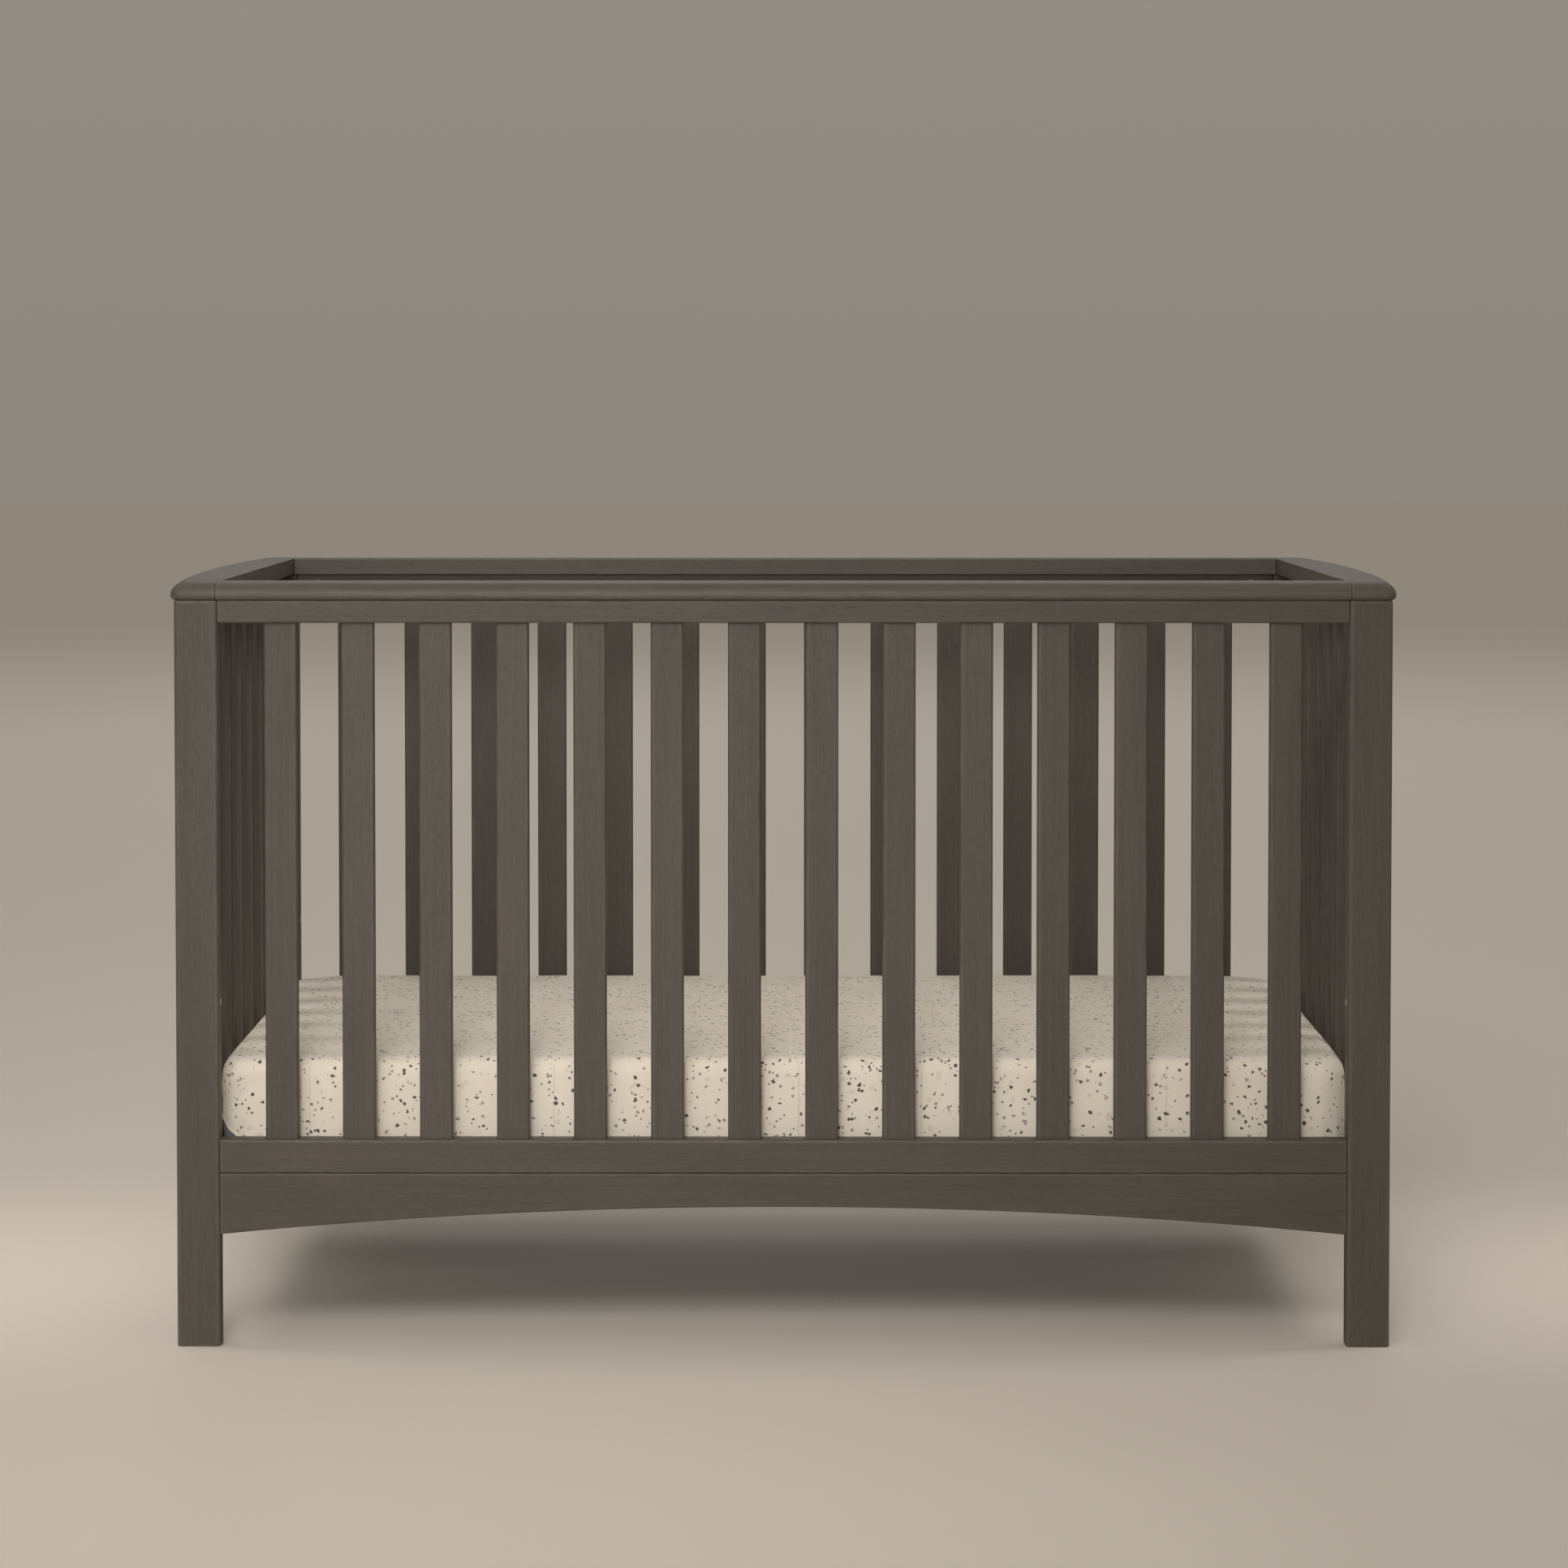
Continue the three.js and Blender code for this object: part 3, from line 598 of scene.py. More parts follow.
def wooden(shape, axis, node_name, cutters=None, name=None):
    """A wooden piece, with marks on it for where the grain runs and where the arrises are."""
    piece = new_object(f"{name or node_name}_wood", *shape)
    if cutters:
        cut(piece, *joined(cutters))
    chance = np.random.default_rng(next(board_seeds))
    mesh = piece.data
    places = np.array([v.co for v in mesh.vertices], float)
    local = places - (places.min(0) + places.max(0)) / 2
    index = "xyz".index(axis)
    first, second = [local[:, i] for i in range(3) if i != index]
    angle = (0 if axis == "z" else QUARTER_TURN) + chance.uniform(-0.35, 0.35)
    u = first * math.cos(angle) - second * math.sin(angle)
    v = first * math.sin(angle) + second * math.cos(angle)
    shift = [chance.uniform(-9, 9), chance.uniform(0.02, 0.06), chance.uniform(-0.03, 0.03)]
    grain = np.stack([local[:, index] + shift[0], u + shift[1], v + shift[2]], axis=1)
    mark(mesh, "grain", "FLOAT_VECTOR", "vector", grain)
    mark(mesh, "tone", "FLOAT", "value", np.full(len(places), chance.uniform(-0.08, 0.08)))
    shell = bmesh.new()
    shell.from_mesh(mesh)
    edges = np.zeros(len(places))
    for vert in shell.verts:
        bends = [e.calc_face_angle(0) for e in vert.link_edges]
        edges[vert.index] = min(1.0, max(bends, default=0) / WORN_AND_LIT_ANGLE)
    shell.free()
    mark(mesh, "edge", "FLOAT", "value", edges)
    dress(piece, WOOD, "frame", [node_name])


def hole(centre, axis, radius, depth, sign):
    """A round cutter that starts 1 mm outside a face and goes in to that depth."""
    return turned([(radius, -1 * MM), (radius, depth)], centre, axis, sign)


def support_hole(face, side, level):
    """Where a hole for the mattress support opens in a post's inner face."""
    near, _ = reach(f"{face}_{side}_post")
    return SIDES[side] * SUPPORT_BOLT_X, FACES[face] * near.y, SUPPORT_BOLT_Z + level * SUPPORT_STEP


def guard_hole(face, side):
    """Where the hole for a guard rail opens in a post's side."""
    near, _ = reach(f"{face}_{side}_post")
    return SIDES[side] * near.x, middle(f"{face}_{side}_post").y, GUARD_HOLE_Z


def bolt_mouth(face, side, place):
    """Where a connector bolt goes into a post's outer side."""
    _, far = reach(f"{face}_{side}_post")
    height = middle(f"{face}_{side}_{place}_connector").z
    return SIDES[side] * far.x, middle(f"{face}_{place}_rail").y, height


def nut_mouth(face, side, place):
    """Where a connector's barrel nut goes into the rail's inner face."""
    post_near, _ = reach(f"{face}_{side}_post")
    rail_near, _ = reach(f"{face}_{place}_rail")
    x, height = post_near.x - NUT_FROM_POST, middle(f"{face}_{side}_{place}_connector").z
    return SIDES[side] * x, FACES[face] * rail_near.y, height


def post(face, side):
    node_name = f"{face}_{side}_post"
    sx, sy = SIDES[side], FACES[face]
    cutters = []
    for level in range(SUPPORT_LEVELS):
        cutters.append(hole(support_hole(face, side, level), "y", SUPPORT_HOLE_RADIUS, HOLE_DEPTH, sy))
    cutters.append(hole(guard_hole(face, side), "x", GUARD_HOLE_RADIUS, HOLE_DEPTH, sx))
    for place in PLACES:
        cutters.append(hole(bolt_mouth(face, side, place), "x", COUNTERBORE_RADIUS, COUNTERBORE_DEPTH, -sx))
    shape = board(*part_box(node_name), "z", POST_ARRIS, 1.6 * MM)
    wooden(shape, "z", node_name, cutters)


def rail(face, place):
    node_name = f"{face}_{place}_rail"
    spans = []
    for i in range(SLAT_COUNT):
        low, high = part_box(f"{face}_slat_{i + 1:02d}")
        spans.append((low.x - JOINT_GAP, high.x + JOINT_GAP))
    radii, open_side = [SOFT_ARRIS] * 2 + [CRISP_ARRIS] * 2, 1
    if place == "top":
        radii, open_side = radii[::-1], -1
    shape = board(*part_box(node_name), "x", radii, 0.9 * MM, (open_side, spans, MORTISE_DEPTH))
    mouths = [nut_mouth(face, side, place) for side in SIDES]
    cutters = [hole(mouth, "y", NUT_RADIUS + JOINT_GAP, NUT_HOLE_DEPTH, FACES[face]) for mouth in mouths]
    wooden(shape, "x", node_name, cutters)


def apron(face):
    """A board whose lower edge is an arc, highest in the middle."""
    node_name = f"{face}_apron"
    low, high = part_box(node_name)
    rail_low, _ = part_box(f"{face}_bottom_rail")
    top = rail_low.z - 0.5 * MM
    half = (high.x - low.x) / 2
    radius = (half**2 + APRON_RISE**2) / (2 * APRON_RISE)
    middle_y, half_y = (low.y + high.y) / 2, (high.y - low.y) / 2
    end_ease = 0.5 * MM
    stations = [(-half, 2 * end_ease), (-half, end_ease), (-half + end_ease, 0), (-half + 4 * MM, 0)]
    inner = [(-half + 2 * half * i / 48, 0) for i in range(1, 48)]
    stations = stations + inner + [(-x, inset) for x, inset in reversed(stations)]
    rings = []
    for x, inset in stations:
        bottom = low.z + APRON_RISE - radius + math.sqrt(radius**2 - min(abs(x), half) ** 2)
        middle_z, half_z = (top + bottom) / 2, (top - bottom) / 2
        arrises = [CRISP_ARRIS, CRISP_ARRIS, SOFT_ARRIS, SOFT_ARRIS]
        radii = [max(r - inset, SMALLEST_RADIUS) for r in arrises]
        points, _ = rounded_section(half_y - inset, half_z - inset, radii)
        rings.append([(x, middle_y + p.x, middle_z + p.y) for p in points])
    wooden(loft(rings), "x", node_name)


def end_frame(side):
    """Two rails and seven slats, glued into one frame with tenons into the posts."""
    node_name = f"{side}_end_frame"
    low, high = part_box(node_name)
    back_post_low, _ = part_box(f"back_{side}_post")
    end_y = back_post_low.y
    _, lower_rail_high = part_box("front_bottom_rail")
    upper_rail_low, upper_rail_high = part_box("front_top_rail")
    gap = (2 * end_y - END_SLAT_COUNT * END_SLAT_WIDTH) / (END_SLAT_COUNT + 1)
    starts = [-end_y + gap + i * (END_SLAT_WIDTH + gap) for i in range(END_SLAT_COUNT)]
    spans = [(y - JOINT_GAP, y + END_SLAT_WIDTH + JOINT_GAP) for y in starts]
    lower = ("bottom", low.z, lower_rail_high.z, 1)
    upper = ("top", upper_rail_low.z, upper_rail_high.z, -1)
    for place, bottom, top, open_side in (lower, upper):
        corners = [(low.x, -end_y, bottom), (high.x, end_y, top)]
        shape = board(*corners, "y", SOFT_ARRIS, 0.5 * MM, (open_side, spans, MORTISE_DEPTH))
        wooden(shape, "y", node_name, name=f"{side}_end_{place}_rail")
    middle_x, half_depth, sunk = (low.x + high.x) / 2, SLAT_DEPTH / 2, MORTISE_DEPTH - JOINT_GAP
    for number, y in enumerate(starts, 1):
        slat_low = (middle_x - half_depth, y, lower_rail_high.z - sunk)
        slat_high = (middle_x + half_depth, y + END_SLAT_WIDTH, upper_rail_low.z + sunk)
        shape = board(slat_low, slat_high, "z", SLAT_ARRIS)
        wooden(shape, "z", node_name, name=f"{side}_end_slat_{number}")


def cap_levels(bottom, thickness):
    """The moulded edge as (inset from the nose, height): a small round below the nose, and a long ellipse
    above it."""
    nose, rise = bottom + CAP_NOSE, thickness - CAP_NOSE
    lower = [i / 6 * QUARTER_TURN for i in range(6)]
    upper = [i / 14 * QUARTER_TURN for i in range(15)]
    levels = [(CAP_NOSE * (1 - math.sin(a)), nose - CAP_NOSE * math.cos(a)) for a in lower]
    return levels + [(CAP_TOP_ROUND * (1 - math.cos(a)), nose + rise * math.sin(a)) for a in upper]


def straight_cap(face):
    node_name = f"{face}_cap"
    low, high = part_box(node_name)
    sy = FACES[face]
    near, far = reach(node_name)
    inner, outer = near.y, far.y
    ease = 0.3 * CAP_ARRIS
    profile = [(outer - inset, z) for inset, z in cap_levels(low.z, high.z - low.z)]
    profile += [(outer - CAP_TOP_ROUND - CAP_GUARD, high.z), (inner + CAP_GUARD, high.z)]
    profile += [(inner + CAP_ARRIS, high.z), (inner + ease, high.z - ease), (inner, high.z - CAP_ARRIS)]
    profile += [(inner, high.z - CAP_GUARD), (inner, low.z + CAP_GUARD), (inner, low.z + CAP_ARRIS)]
    profile += [(inner + ease, low.z + ease), (inner + CAP_ARRIS, low.z)]
    profile += [(inner + CAP_GUARD, low.z), (outer - CAP_NOSE - CAP_GUARD, low.z)]
    centre = Vector(((outer + inner) / 2, (low.z + high.z) / 2))
    chamfer = 0.35 * MM
    stations = [(low.x, 3 * chamfer), (low.x, chamfer), (low.x + chamfer, 0), (low.x + CAP_GUARD, 0)]
    stations += [(-x, inset) for x, inset in reversed(stations)]
    rings = []
    for x, inset in stations:
        ring = []
        for y, z in profile:
            away = Vector((y, z)) - centre
            moved = centre + away * (1 - inset / max(away.length, inset))
            ring.append((x, sy * moved.x, moved.y))
        rings.append(ring)
    wooden(loft(rings), "x", node_name)


def end_cap_plan(outer_x, outer_y, inner_x, inset, inner_inset):
    """The plan of an end cap drawn back by an inset, as points from the inner edge round to it again."""
    half = outer_y - inset
    radius = (outer_y**2 + CAP_BOW**2) / (2 * CAP_BOW) - inset
    centre_x = outer_x - inset - radius
    corner_y = half - CAP_CORNER

    def edge_x(y):
        return centre_x + math.sqrt(radius**2 - y**2)

    turn_x = edge_x(half) - CAP_CORNER
    start_x = inner_x + inner_inset
    straight = [(start_x + (turn_x - start_x) * i / 6, -half) for i in range(6)]
    control = Vector((edge_x(half), -half))
    first, last = Vector((turn_x, -half)), Vector((edge_x(corner_y), -corner_y))
    corner = []
    for i in range(11):
        t = i / 10
        p = (1 - t) ** 2 * first + 2 * t * (1 - t) * control + t**2 * last
        corner.append((p.x, p.y))
    spread = math.asin(corner_y / radius)
    angles = [-spread + 2 * spread * i / 36 for i in range(1, 36)]
    bow = [(centre_x + radius * math.cos(a), radius * math.sin(a)) for a in angles]
    mirrored = [(x, -y) for x, y in reversed(straight + corner)]
    return straight + corner + bow + mirrored


def end_cap(side):
    node_name = f"{side}_end_cap"
    low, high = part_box(node_name)
    near, far = reach(node_name)

    def eased(z):
        share = 1 - min(z - low.z, high.z - z) / CAP_ARRIS
        return CAP_ARRIS * (1 - math.sqrt(1 - min(max(share, 0), 1) ** 2))

    flat_inset = CAP_ARRIS + 2 * MM
    levels = [(inset, z, eased(z)) for inset, z in cap_levels(low.z, high.z - low.z)]
    levels.insert(0, (CAP_NOSE + CAP_GUARD, low.z, flat_inset))
    levels.append((CAP_TOP_ROUND + CAP_GUARD, high.z, flat_inset))
    rings = []
    for inset, z, inner_inset in levels:
        plan = end_cap_plan(far.x, high.y, near.x, inset, inner_inset)
        rings.append([(SIDES[side] * x, y, z) for x, y in plan])
    wooden(loft(rings), "y", node_name)


for face in FACES:
    for side in SIDES:
        post(face, side)
    for place in PLACES:
        rail(face, place)
    apron(face)
    straight_cap(face)
    for i in range(SLAT_COUNT):
        slat = f"{face}_slat_{i + 1:02d}"
        wooden(board(*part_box(slat), "z", SLAT_ARRIS), "z", slat)
for side in SIDES:
    end_frame(side)
    end_cap(side)

# ---- Bolts, barrel nuts and threaded sleeves ----


def zinc(name, shape, stands_for=(), sharp_degrees=40):
    return dress(new_object(name, *shape), ZINC, "frame", stands_for, sharp_degrees)


def headed(radius, height, centre, axis, sign):
    """A flat round head with a hexagonal socket in it, from the shank's side to the socket's floor."""
    ease, socket = 0.16 * height, HEX_SOCKET
    outside = [(0.9 * radius, 0), (radius, ease), (radius, height - 2 * ease)]
    outside += [(radius - ease, height - 0.6 * ease), (radius - 3 * ease, height)]
    outside += [(socket + 0.5 * MM, height)]
    inside = [(socket, height), (socket * 0.96, height - 0.25 * MM), (socket * 0.96, 0.35 * height)]

    def shape(angle, ring):
        return hexagon(angle) if ring >= len(outside) else 1

    return turned(outside + inside, centre, axis, sign, 48, shape)


def shank(length, centre, axis, sign):
    return turned([(SHANK_RADIUS, 0), (SHANK_RADIUS, length)], centre, axis, sign, 20)


def connector(face, side, place):
    """The bolt's head in its counterbore, its shank, and the slotted barrel nut in the rail."""
    node_name = f"{face}_{side}_{place}_connector"
    sx = SIDES[side]
    x, y, z = bolt_mouth(face, side, place)
    seat = (x - sx * COUNTERBORE_DEPTH, y, z)
    head = headed(7.5 * MM, 2.4 * MM, seat, "x", sx)
    zinc(f"{node_name}_bolt", joined([head, shank(82 * MM, seat, "x", -sx)]), [node_name])
    mouth = nut_mouth(face, side, place)
    profile = [(4.3 * MM, -0.2 * MM), (NUT_RADIUS, 0.5 * MM), (NUT_RADIUS, 15.4 * MM), (4.4 * MM, 16 * MM)]
    nut = new_object(f"{node_name}_nut", *turned(profile, mouth, "y", FACES[face], 40))
    half_slot = Vector((0.7 * MM, 2 * MM, 7 * MM))
    cut(nut, *block(Vector(mouth) - half_slot, Vector(mouth) + half_slot))
    dress(nut, ZINC, "frame", [node_name])


def support_bolt(face, side):
    node_name = f"{face}_{side}_support_bolt"
    sy = FACES[face]
    centre = middle(node_name)
    near, far = reach(node_name)
    height = 4 * MM
    seat = (centre.x, sy * (near.y + height), centre.z)
    head = headed(6.5 * MM, height, seat, "y", -sy)
    stem = shank(far.y - near.y - height, seat, "y", sy)
    zinc(f"{node_name}_zinc", joined([head, stem]), [node_name])


def sleeve(name, centre, axis, sign, bore, outside):
    """A threaded sleeve: a tube with a thin flange, a countersunk mouth and a few thread crests."""
    flange = 4.6 * MM
    profile = [(outside, 8 * MM), (outside, 0.2 * MM), (flange, 0.1 * MM), (flange, -0.25 * MM)]
    profile += [(flange - 0.3 * MM, -0.4 * MM), (bore + 0.6 * MM, -0.4 * MM), (bore + 0.1 * MM, 0.2 * MM)]
    for i in range(6):
        profile += [(bore - 0.3 * MM, (0.7 + i) * MM), (bore, (1.2 + i) * MM)]
    profile += [(bore - 0.3 * MM, 7 * MM)]
    zinc(name, turned(profile, centre, axis, sign), sharp_degrees=30)


for face, sy in FACES.items():
    for side, sx in SIDES.items():
        for place in PLACES:
            connector(face, side, place)
        support_bolt(face, side)
        sleeve(f"{face}_{side}_guard_sleeve", guard_hole(face, side), "x", sx, 2.9 * MM, 3.9 * MM)
        for level in range(1, SUPPORT_LEVELS):
            name = f"{face}_{side}_support_sleeve_{level + 1}"
            sleeve(name, support_hole(face, side, level), "y", sy, 2.6 * MM, 3.3 * MM)

# ---- Mattress support ----


def rod(start, end, radius, sides=12):
    """A round wire between two points along X or Y, with its ends eased."""
    start, end = Vector(start), Vector(end)
    axis = "x" if abs(end.x - start.x) > abs(end.y - start.y) else "y"
    length = (end - start).length
    profile = [(0.6 * radius, 0), (radius, 0.5 * radius), (radius, length - 0.5 * radius)]
    return turned([*profile, (0.6 * radius, length)], start, axis, 1, sides)


def weld(centre, radius):
    """A small flattened bead of weld."""
    angles = [math.pi * (0.08 + 0.84 * i / 6) for i in range(7)]
    profile = [(radius * math.sin(a), -0.6 * radius * math.cos(a)) for a in angles]
    return turned(profile, centre, "z", 1, 12)


def arc(centre_x, centre_z, radius, start, end, steps):
    angles = [start + (end - start) * i / steps for i in range(steps + 1)]
    return [(centre_x + radius * math.cos(a), centre_z + radius * math.sin(a)) for a in angles]


def hook_plate(sx, sy, bottom, top):
    """A plate with rounded upper corners and a slot that drops over the bolt."""
    corner, slot = 6 * MM, SUPPORT_HOLE_RADIUS
    corner_z = top - corner
    outline = [(HOOK_START, bottom)]
    outline += arc(HOOK_START + corner, corner_z, corner, math.pi, QUARTER_TURN, 6)
    outline += arc(HOOK_END - corner, corner_z, corner, QUARTER_TURN, 0, 6)
    outline += [(HOOK_END, bottom), (SUPPORT_BOLT_X + slot, bottom)]
    outline += arc(SUPPORT_BOLT_X, SUPPORT_BOLT_Z, slot, 0, math.pi, 12)
    outline.append((SUPPORT_BOLT_X - slot, bottom))
    return loft([[(sx * x, sy * y, z) for x, z in outline] for y in (HOOK_INNER, HOOK_OUTER)])


def support_frame():
    """Flat bars with hook plates on their ends. Beads of weld lie in the corners and along the plates."""
    low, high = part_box("support_frame")
    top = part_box("support_grille")[1].z - 5.3 * MM
    inner_x, inner_y = BAR_END - BAR_WIDTH, BAR_SIDE - BAR_WIDTH
    parts = []
    for sy in (-1, 1):
        y = sorted((sy * BAR_SIDE, sy * inner_y))
        parts.append(board((-BAR_END, y[0], low.z), (BAR_END, y[1], top), "x", BAR_ARRIS))
    for sx in (-1, 1):
        x = sorted((sx * BAR_END, sx * inner_x))
        parts.append(board((x[0], -inner_y, low.z), (x[1], inner_y, top), "y", BAR_ARRIS))
        for sy in (-1, 1):
            parts.append(hook_plate(sx, sy, low.z + 2 * MM, high.z))
            for share in (0.15, 0.5, 0.85):
                parts.append(weld((sx * inner_x, sy * inner_y, low.z + share * (top - low.z)), 3.2 * MM))
            for share in (0.1, 0.35, 0.6):
                weld_x = HOOK_START + 2 * MM + share * 48 * MM
                spot = (sx * weld_x, sy * (BAR_SIDE + 0.8 * MM), low.z + 3 * MM)
                parts.append(weld(spot, 2.4 * MM))
    piece = new_object("support_frame_steel", *joined(parts))
    dress(piece, PAINT, "support", ["support_frame"])


def support_grille():
    """Round wires: the cross wires lie on the frame's bars and on the long wires, welded where they touch."""
    low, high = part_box("support_grille")
    wire = 2.5 * MM
    cross_count, long_count = 15, 6
    open_x, open_y = BAR_END - BAR_WIDTH, BAR_SIDE - BAR_WIDTH
    cross_z, long_z = high.z - wire, high.z - wire - 1.75 * wire
    cross_x = [-open_x + (i + 1) * 2 * open_x / (cross_count + 1) for i in range(cross_count)]
    long_y = [-open_y + (i + 1) * 2 * open_y / (long_count + 1) for i in range(long_count)]
    parts = [rod((x, low.y, cross_z), (x, high.y, cross_z), wire) for x in cross_x]
    parts += [rod((low.x, y, long_z), (high.x, y, long_z), wire) for y in long_y]
    for x in cross_x:
        parts += [weld((x, y, (cross_z + long_z) / 2), 2.6 * MM) for y in long_y]
        for sy in (-1, 1):
            weld_y, weld_z = sy * (open_y + 5 * MM), cross_z - wire
            parts += [weld((x + sx * wire, weld_y, weld_z), 2.2 * MM) for sx in (-1, 1)]
    piece = new_object("support_grille_steel", *joined(parts))
    dress(piece, PAINT, "support", ["support_grille"])


support_frame()
support_grille()

# ---- Mattress and sheet ----

sheet_low, sheet_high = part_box("fitted_sheet")
HALF_LENGTH, HALF_WIDTH = sheet_high.x, sheet_high.y
LONG_STEPS, SHORT_STEPS, CORNER_STEPS = 150, 76, 12


def mattress_outline(inset):
    """The mattress's plan drawn in by an inset, as points and their outward directions. It starts at the
    left end of the front-left corner and goes anticlockwise, seen from above."""
    corner = max(MATTRESS_CORNER - inset, 0.0)
    cx = max(HALF_LENGTH - max(inset, MATTRESS_CORNER), 0.0)
    cy = max(HALF_WIDTH - max(inset, MATTRESS_CORNER), 0.0)
    points, outward = [], []
    centres = [(-cx, -cy), (cx, -cy), (cx, cy), (-cx, cy)]
    for number, (px, py) in enumerate(centres):
        start = math.pi + number * QUARTER_TURN
        spots = [(px, py, start + QUARTER_TURN * i / CORNER_STEPS) for i in range(CORNER_STEPS + 1)]
        steps = LONG_STEPS if number % 2 == 0 else SHORT_STEPS
        nx, ny = centres[(number + 1) % 4]
        for i in range(1, steps):
            t = i / steps
            spots.append((px + (nx - px) * t, py + (ny - py) * t, start + QUARTER_TURN))
        for x, y, a in spots:
            points.append((x + corner * math.cos(a), y + corner * math.sin(a)))
            outward.append((math.cos(a), math.sin(a)))
    return np.array(points), np.array(outward)


def edge_path(bottom, top, bottom_round, top_round, hem, bulge, inset=0.0):
    """The section of a pad's edge as (inset, height): in under it, round, up the side and round again."""
    path = [(inset + hem * (1 - i / 5) + bottom_round, bottom) for i in range(5)]
    for i in range(8):
        a = QUARTER_TURN * i / 7
        path.append((inset + bottom_round * (1 - math.sin(a)), bottom + bottom_round * (1 - math.cos(a))))
    side_low, side_high = bottom + bottom_round, top - top_round
    for i in range(1, 16):
        t = i / 16
        path.append((inset - bulge * math.sin(math.pi * t), side_low + (side_high - side_low) * t))
    for i in range(12):
        a = QUARTER_TURN * i / 11
        path.append((inset + top_round * (1 - math.cos(a)), side_high + top_round * math.sin(a)))
    return path


def pad_columns(path, hem_lift, crown, row_step, top_rows):
    """Columns of points all round a pad, each from its hem up that edge path and on over a crowned top to the
    middle line. hem_lift(distance round) says how far along the path the hem has ridden up."""
    outline, outward = mattress_outline(0.0)
    steps = np.linalg.norm(np.roll(outline, -1, axis=0) - outline, axis=1)
    round_it = np.concatenate([[0], np.cumsum(steps)[:-1]])
    legs = [math.dist(a, b) for a, b in zip(path, path[1:])]
    places = np.concatenate([[0], np.cumsum(legs)])
    insets, heights = zip(*path)
    total = places[-1]
    rows = max(int(total / row_step), 24)
    corner_middle = MATTRESS_CORNER * math.pi / 4
    ridge = HALF_LENGTH - HALF_WIDTH
    plans = {}

    def plan(inset):
        key = round(inset, 6)
        if key not in plans:
            plans[key] = mattress_outline(max(inset, 0.0))[0] - min(inset, 0.0) * outward
        return plans[key]

    columns = []
    for c, distance in enumerate(round_it):
        lift = hem_lift(distance - corner_middle) if hem_lift else 0.0
        stops = lift + (total - lift) * np.arange(rows + 1) / rows
        drawn = zip(np.interp(stops, places, insets), np.interp(stops, places, heights))
        column = [(*plan(inset)[c], z) for inset, z in drawn]
        rim_x, rim_y, rim_z = column[-1]
        goal_x = min(max(rim_x, -ridge), ridge)
        for r in range(1, top_rows + 1):
            t = r / top_rows
            column.append((rim_x + (goal_x - rim_x) * t, rim_y * (1 - t), rim_z + crown * (1 - (1 - t) ** 2)))
        columns.append(column)
    return columns


def pad_object(name, columns, close_bottom):
    rows, count = len(columns[0]), len(columns)
    faces = quads(count, rows, False)
    if close_bottom:
        faces.append(tuple(c * rows for c in range(count)))
    return new_object(name, [p for column in columns for p in column], faces, 0.4 * MM)


def corner_pull(x, y, z):
    """How far the top sinks near a corner, where the sheet's elastic draws it down."""
    away = math.hypot(HALF_LENGTH - abs(x), HALF_WIDTH - abs(y))
    height = (z - sheet_low.z) / (sheet_high.z - sheet_low.z)
    return CORNER_PULL * math.exp(-((away / CORNER_PULL_REACH) ** 2)) * max(0.0, 2 * height - 1)


def mattress_cover():
    """The foam mattress in its own woven cover, just inside the sheet."""
    low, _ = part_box("mattress")
    path = edge_path(low.z, sheet_high.z - 2 * MM, 8 * MM, 16 * MM, 0.0, 0.0, 1.6 * MM)
    piece = pad_object("mattress_cover", pad_columns(path, None, 1.0 * MM, 11 * MM, 14), True)
    for vert in piece.data.vertices:
        vert.co.z -= corner_pull(*vert.co)
    dress(piece, COVER, "mattress", ["mattress"], 60)


def ridden_up(distance):
    """How far along its path the hem has slipped at a distance round from the front-left corner."""
    perimeter = 4 * (HALF_LENGTH + HALF_WIDTH) - (8 - FULL_TURN) * MATTRESS_CORNER
    away = abs(distance - SLIP_CENTRE)
    away = min(away, perimeter - away)
    return SLIP * (1 - (away / SLIP_REACH) ** 1.3) if away < SLIP_REACH else 0.0


def hem_tube(mesh):
    """The elastic hem: a tube of cloth along the sheet's open edge, gathered into small ruffles."""
    shell = bmesh.new()
    shell.from_mesh(mesh)
    edge = next(e for e in shell.edges if e.is_boundary)
    start, vert = edge.verts
    loop = [start.co.copy()]
    while vert != start:
        loop.append(vert.co.copy())
        edge = next(e for e in vert.link_edges if e.is_boundary and e != edge)
        vert = edge.other_vert(vert)
    shell.free()
    count, sides = len(loop), 10
    verts = []
    for i, point in enumerate(loop):
        ahead = (loop[(i + 1) % count] - loop[i - 1]).normalized()
        first = ahead.cross(Vector((0, 0, 1))).normalized()
        second = ahead.cross(first)
        radius = HEM_RADIUS * (1 + 0.22 * math.sin(i * 2.1))
        for k in range(sides):
            a = FULL_TURN * k / sides
            spot = point + radius * (math.cos(a) * first + math.sin(a) * second)
            verts.append((spot.x, spot.y, max(spot.z, sheet_low.z)))
    piece = new_object("fitted_sheet_hem", verts, quads(count, sides, True))
    return dress(piece, HEM, "mattress", ["fitted_sheet"], 80)


def ripple(place, *frequency):
    """Smooth noise at a place, with a frequency for each axis."""
    return noise.noise(Vector([p * f for p, f in zip(place, frequency)]))


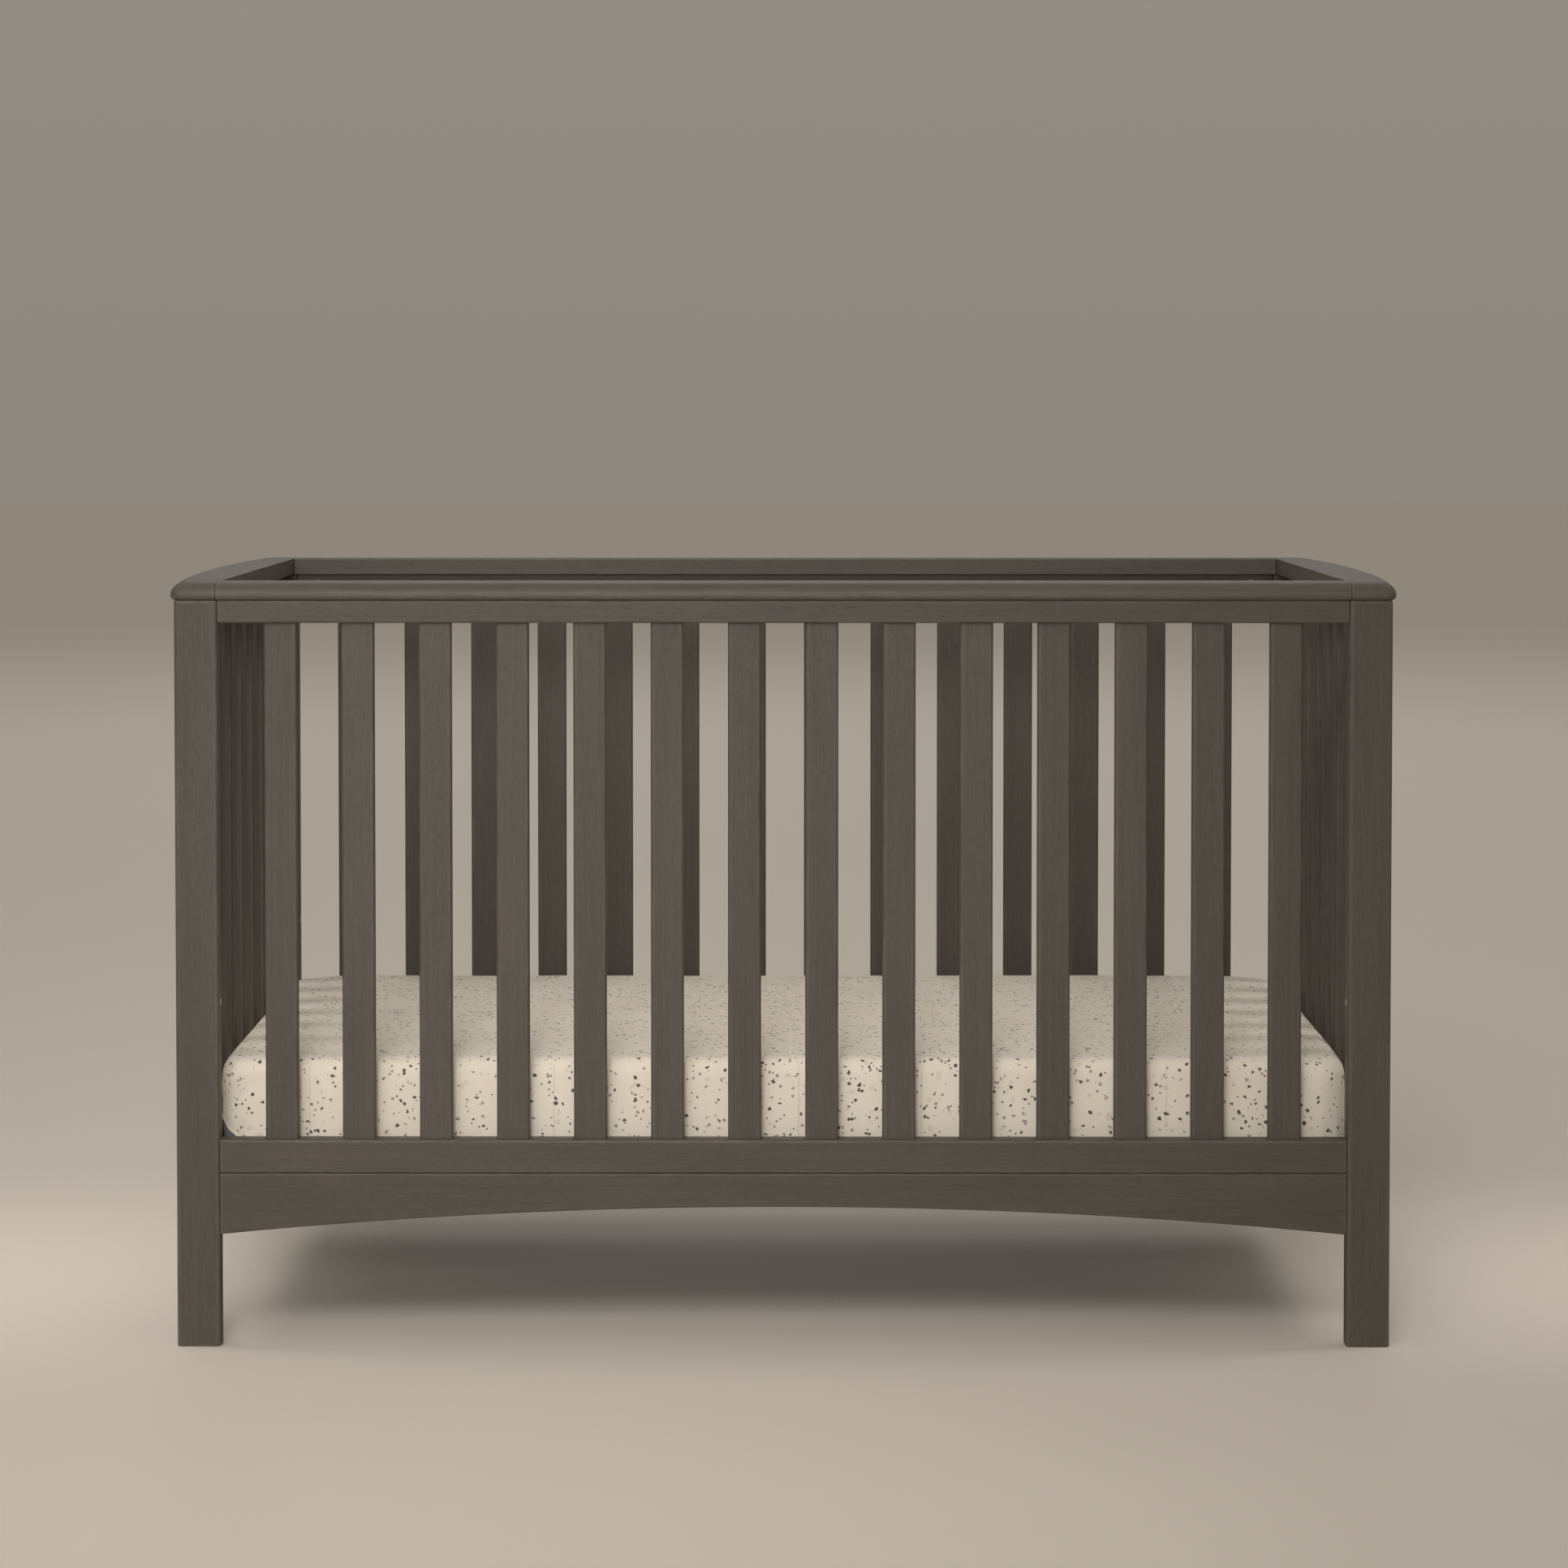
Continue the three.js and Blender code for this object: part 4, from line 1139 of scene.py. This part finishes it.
def moved_cloth(place, normal):
    """Where a point of the smooth sheet goes: soft lumps, puckers at the corners, creases drawn towards the
    slipped corner, and gathers under the mattress."""
    x, y, z = place
    soft = ripple(place, 5.5, 5.5, 7) * 1.1 + ripple(place, 16, 16, 13) * 0.45
    side = 1 - abs(normal[2])
    height = (z - sheet_low.z) / (sheet_high.z - sheet_low.z)
    corner_away = math.hypot(HALF_LENGTH - abs(x), HALF_WIDTH - abs(y))
    angle = math.atan2(abs(y) - HALF_WIDTH + PUCKER_CENTRE, abs(x) - HALF_LENGTH + PUCKER_CENTRE)
    pucker = math.sin(angle * 17 + 3 * ripple(place, 9, 9, 9)) * math.exp(-corner_away / PUCKER_REACH)
    slipped = math.exp(-math.hypot(x + HALF_LENGTH, y + HALF_WIDTH) / TENSION_REACH)
    slant = (x + HALF_LENGTH) * 0.8 - (z - 0.2)
    tension = math.sin(slant * 120 + 2 * ripple(place, 12, 12, 12)) * slipped
    lift = soft * 0.8 + side * ((1 - height) * pucker * 1.5 + tension * 0.9) + (1 - side) * pucker * 0.35
    gather = 0.0
    if z < sheet_low.z + 3 * MM:
        gather = abs(math.sin(x * 420 + 2 * ripple(place, 30, 30, 30)) * math.sin(y * 420)) * 0.24 * MM
    moved = place + normal * (lift * MM)
    moved[2] = max(moved[2] - corner_pull(x, y, z) - gather, sheet_low.z + 0.1 * MM)
    return moved


def fitted_sheet():
    """A taut cotton sheet: gathered along its elastic hem under the mattress, and slipped up off the corner
    at the front left."""
    low, high = sheet_low.z + 0.5 * MM, sheet_high.z - 0.8 * MM
    path = edge_path(low, high, 10 * MM, MATTRESS_EDGE, SHEET_HEM - 10 * MM, 0.6 * MM)
    columns = pad_columns(path, ridden_up, 2.2 * MM, 6.5 * MM, 34)
    piece = pad_object("fitted_sheet_cotton", columns, False)
    mesh = piece.data
    places = np.array([v.co for v in mesh.vertices], float)
    normals = np.array([v.normal for v in mesh.vertices], float)
    moved = np.array([moved_cloth(place, normal) for place, normal in zip(places, normals)])
    mesh.vertices.foreach_set("co", moved.astype(np.float32).ravel())
    mesh.update()
    hem = hem_tube(mesh)
    thick = piece.modifiers.new("thickness", "SOLIDIFY")
    thick.thickness = SHEET_THICKNESS
    thick.offset = -1
    dress(piece, SHEET, "mattress", ["fitted_sheet"], 80)


mattress_cover()
fitted_sheet()

# ---- Floor, light and camera ----


def stage():
    """A pale floor that runs into a pale sky without an edge."""
    corners = [(x * FLOOR_REACH, y * FLOOR_REACH, 0) for x, y in ((-1, -1), (1, -1), (1, 1), (-1, 1))]
    floor = new_object("floor", corners, [(0, 1, 2, 3)])
    colour = linear(224, 216, 206)
    material = Material("pale_floor", Base_Color=colour, Roughness=0.7, Specular_IOR_Level=0.2)
    floor.data.materials.append(material.made)

    world = bpy.data.worlds.new("soft_room")
    bpy.context.scene.world = world
    world.use_nodes = True
    sky = Graph(world.node_tree)
    up = sky.split(sky.node("TexCoord").outputs["Generated"])["Z"]
    colour = sky.mix(sky.ramp(up, 0.0, 0.45), linear(187, 178, 165), linear(214, 208, 200))
    background = world.node_tree.nodes["Background"]
    world.node_tree.links.new(colour, background.inputs["Color"])
    background.inputs["Strength"].default_value = 0.55


def softbox(name, place, target, size, power, colour, spread=180):
    data = bpy.data.lights.new(name, "AREA")
    data.shape = "RECTANGLE"
    data.size, data.size_y = size
    data.energy = power
    data.color = colour
    data.spread = math.radians(spread)
    light = bpy.data.objects.new(name, data)
    bpy.context.scene.collection.objects.link(light)
    light.location = place
    light.rotation_euler = (Vector(target) - Vector(place)).to_track_quat("-Z", "Y").to_euler()


def lights():
    """The narrow lights fall on the front and on each end, and leave the mattress's top in softer light."""
    daylight = (1.0, 0.965, 0.93)
    softbox("key", (-0.9, -3.9, 2.9), (-0.36, -0.3, 0.5), (2.2, 1.4), 7.4, daylight, 50)
    softbox("front", (-0.4, -4.8, 1.4), (-0.36, -0.3, 0.5), (0.9, 0.6), 5.2, daylight, 50)
    softbox("side", (-2.9, -2.9, 2.4), (-0.2, 0, 0.4), (0.7, 0.7), 8, (1.0, 0.95, 0.9))
    softbox("top", (0, 0.6, 4.0), (0, 0, 0), (4.5, 3.5), 9, (1.0, 0.88, 0.7))
    softbox("back", (0, 9.5, 7.5), (0, 0, 0.5), (5.0, 4.0), 150, (0.99, 0.98, 1.0))
    for side, sx in SIDES.items():
        place, target = (sx * 2.0, 0, 2.6), (sx * 0.92, 0, 0.3)
        softbox(f"{side}_end", place, target, (0.5, 1.6), 0.8, (1.0, 0.94, 0.87), 26)


def camera():
    """In front of the crib, a little above its top, and aimed a little down."""
    data = bpy.data.cameras.new("camera")
    data.sensor_width = 36
    data.lens = 90.9
    data.shift_y = -0.149
    data.clip_end = 200
    eye = bpy.data.objects.new("camera", data)
    bpy.context.scene.collection.objects.link(eye)
    eye.location = (0.0145, -4.913, 1.083)
    eye.rotation_euler = (math.radians(90 - AIMED_DOWN), 0, math.radians(AIMED_LEFT))
    bpy.context.scene.camera = eye


stage()
lights()
camera()
bpy.context.scene.view_settings.view_transform = "Standard"
bpy.context.scene.view_settings.look = "None"
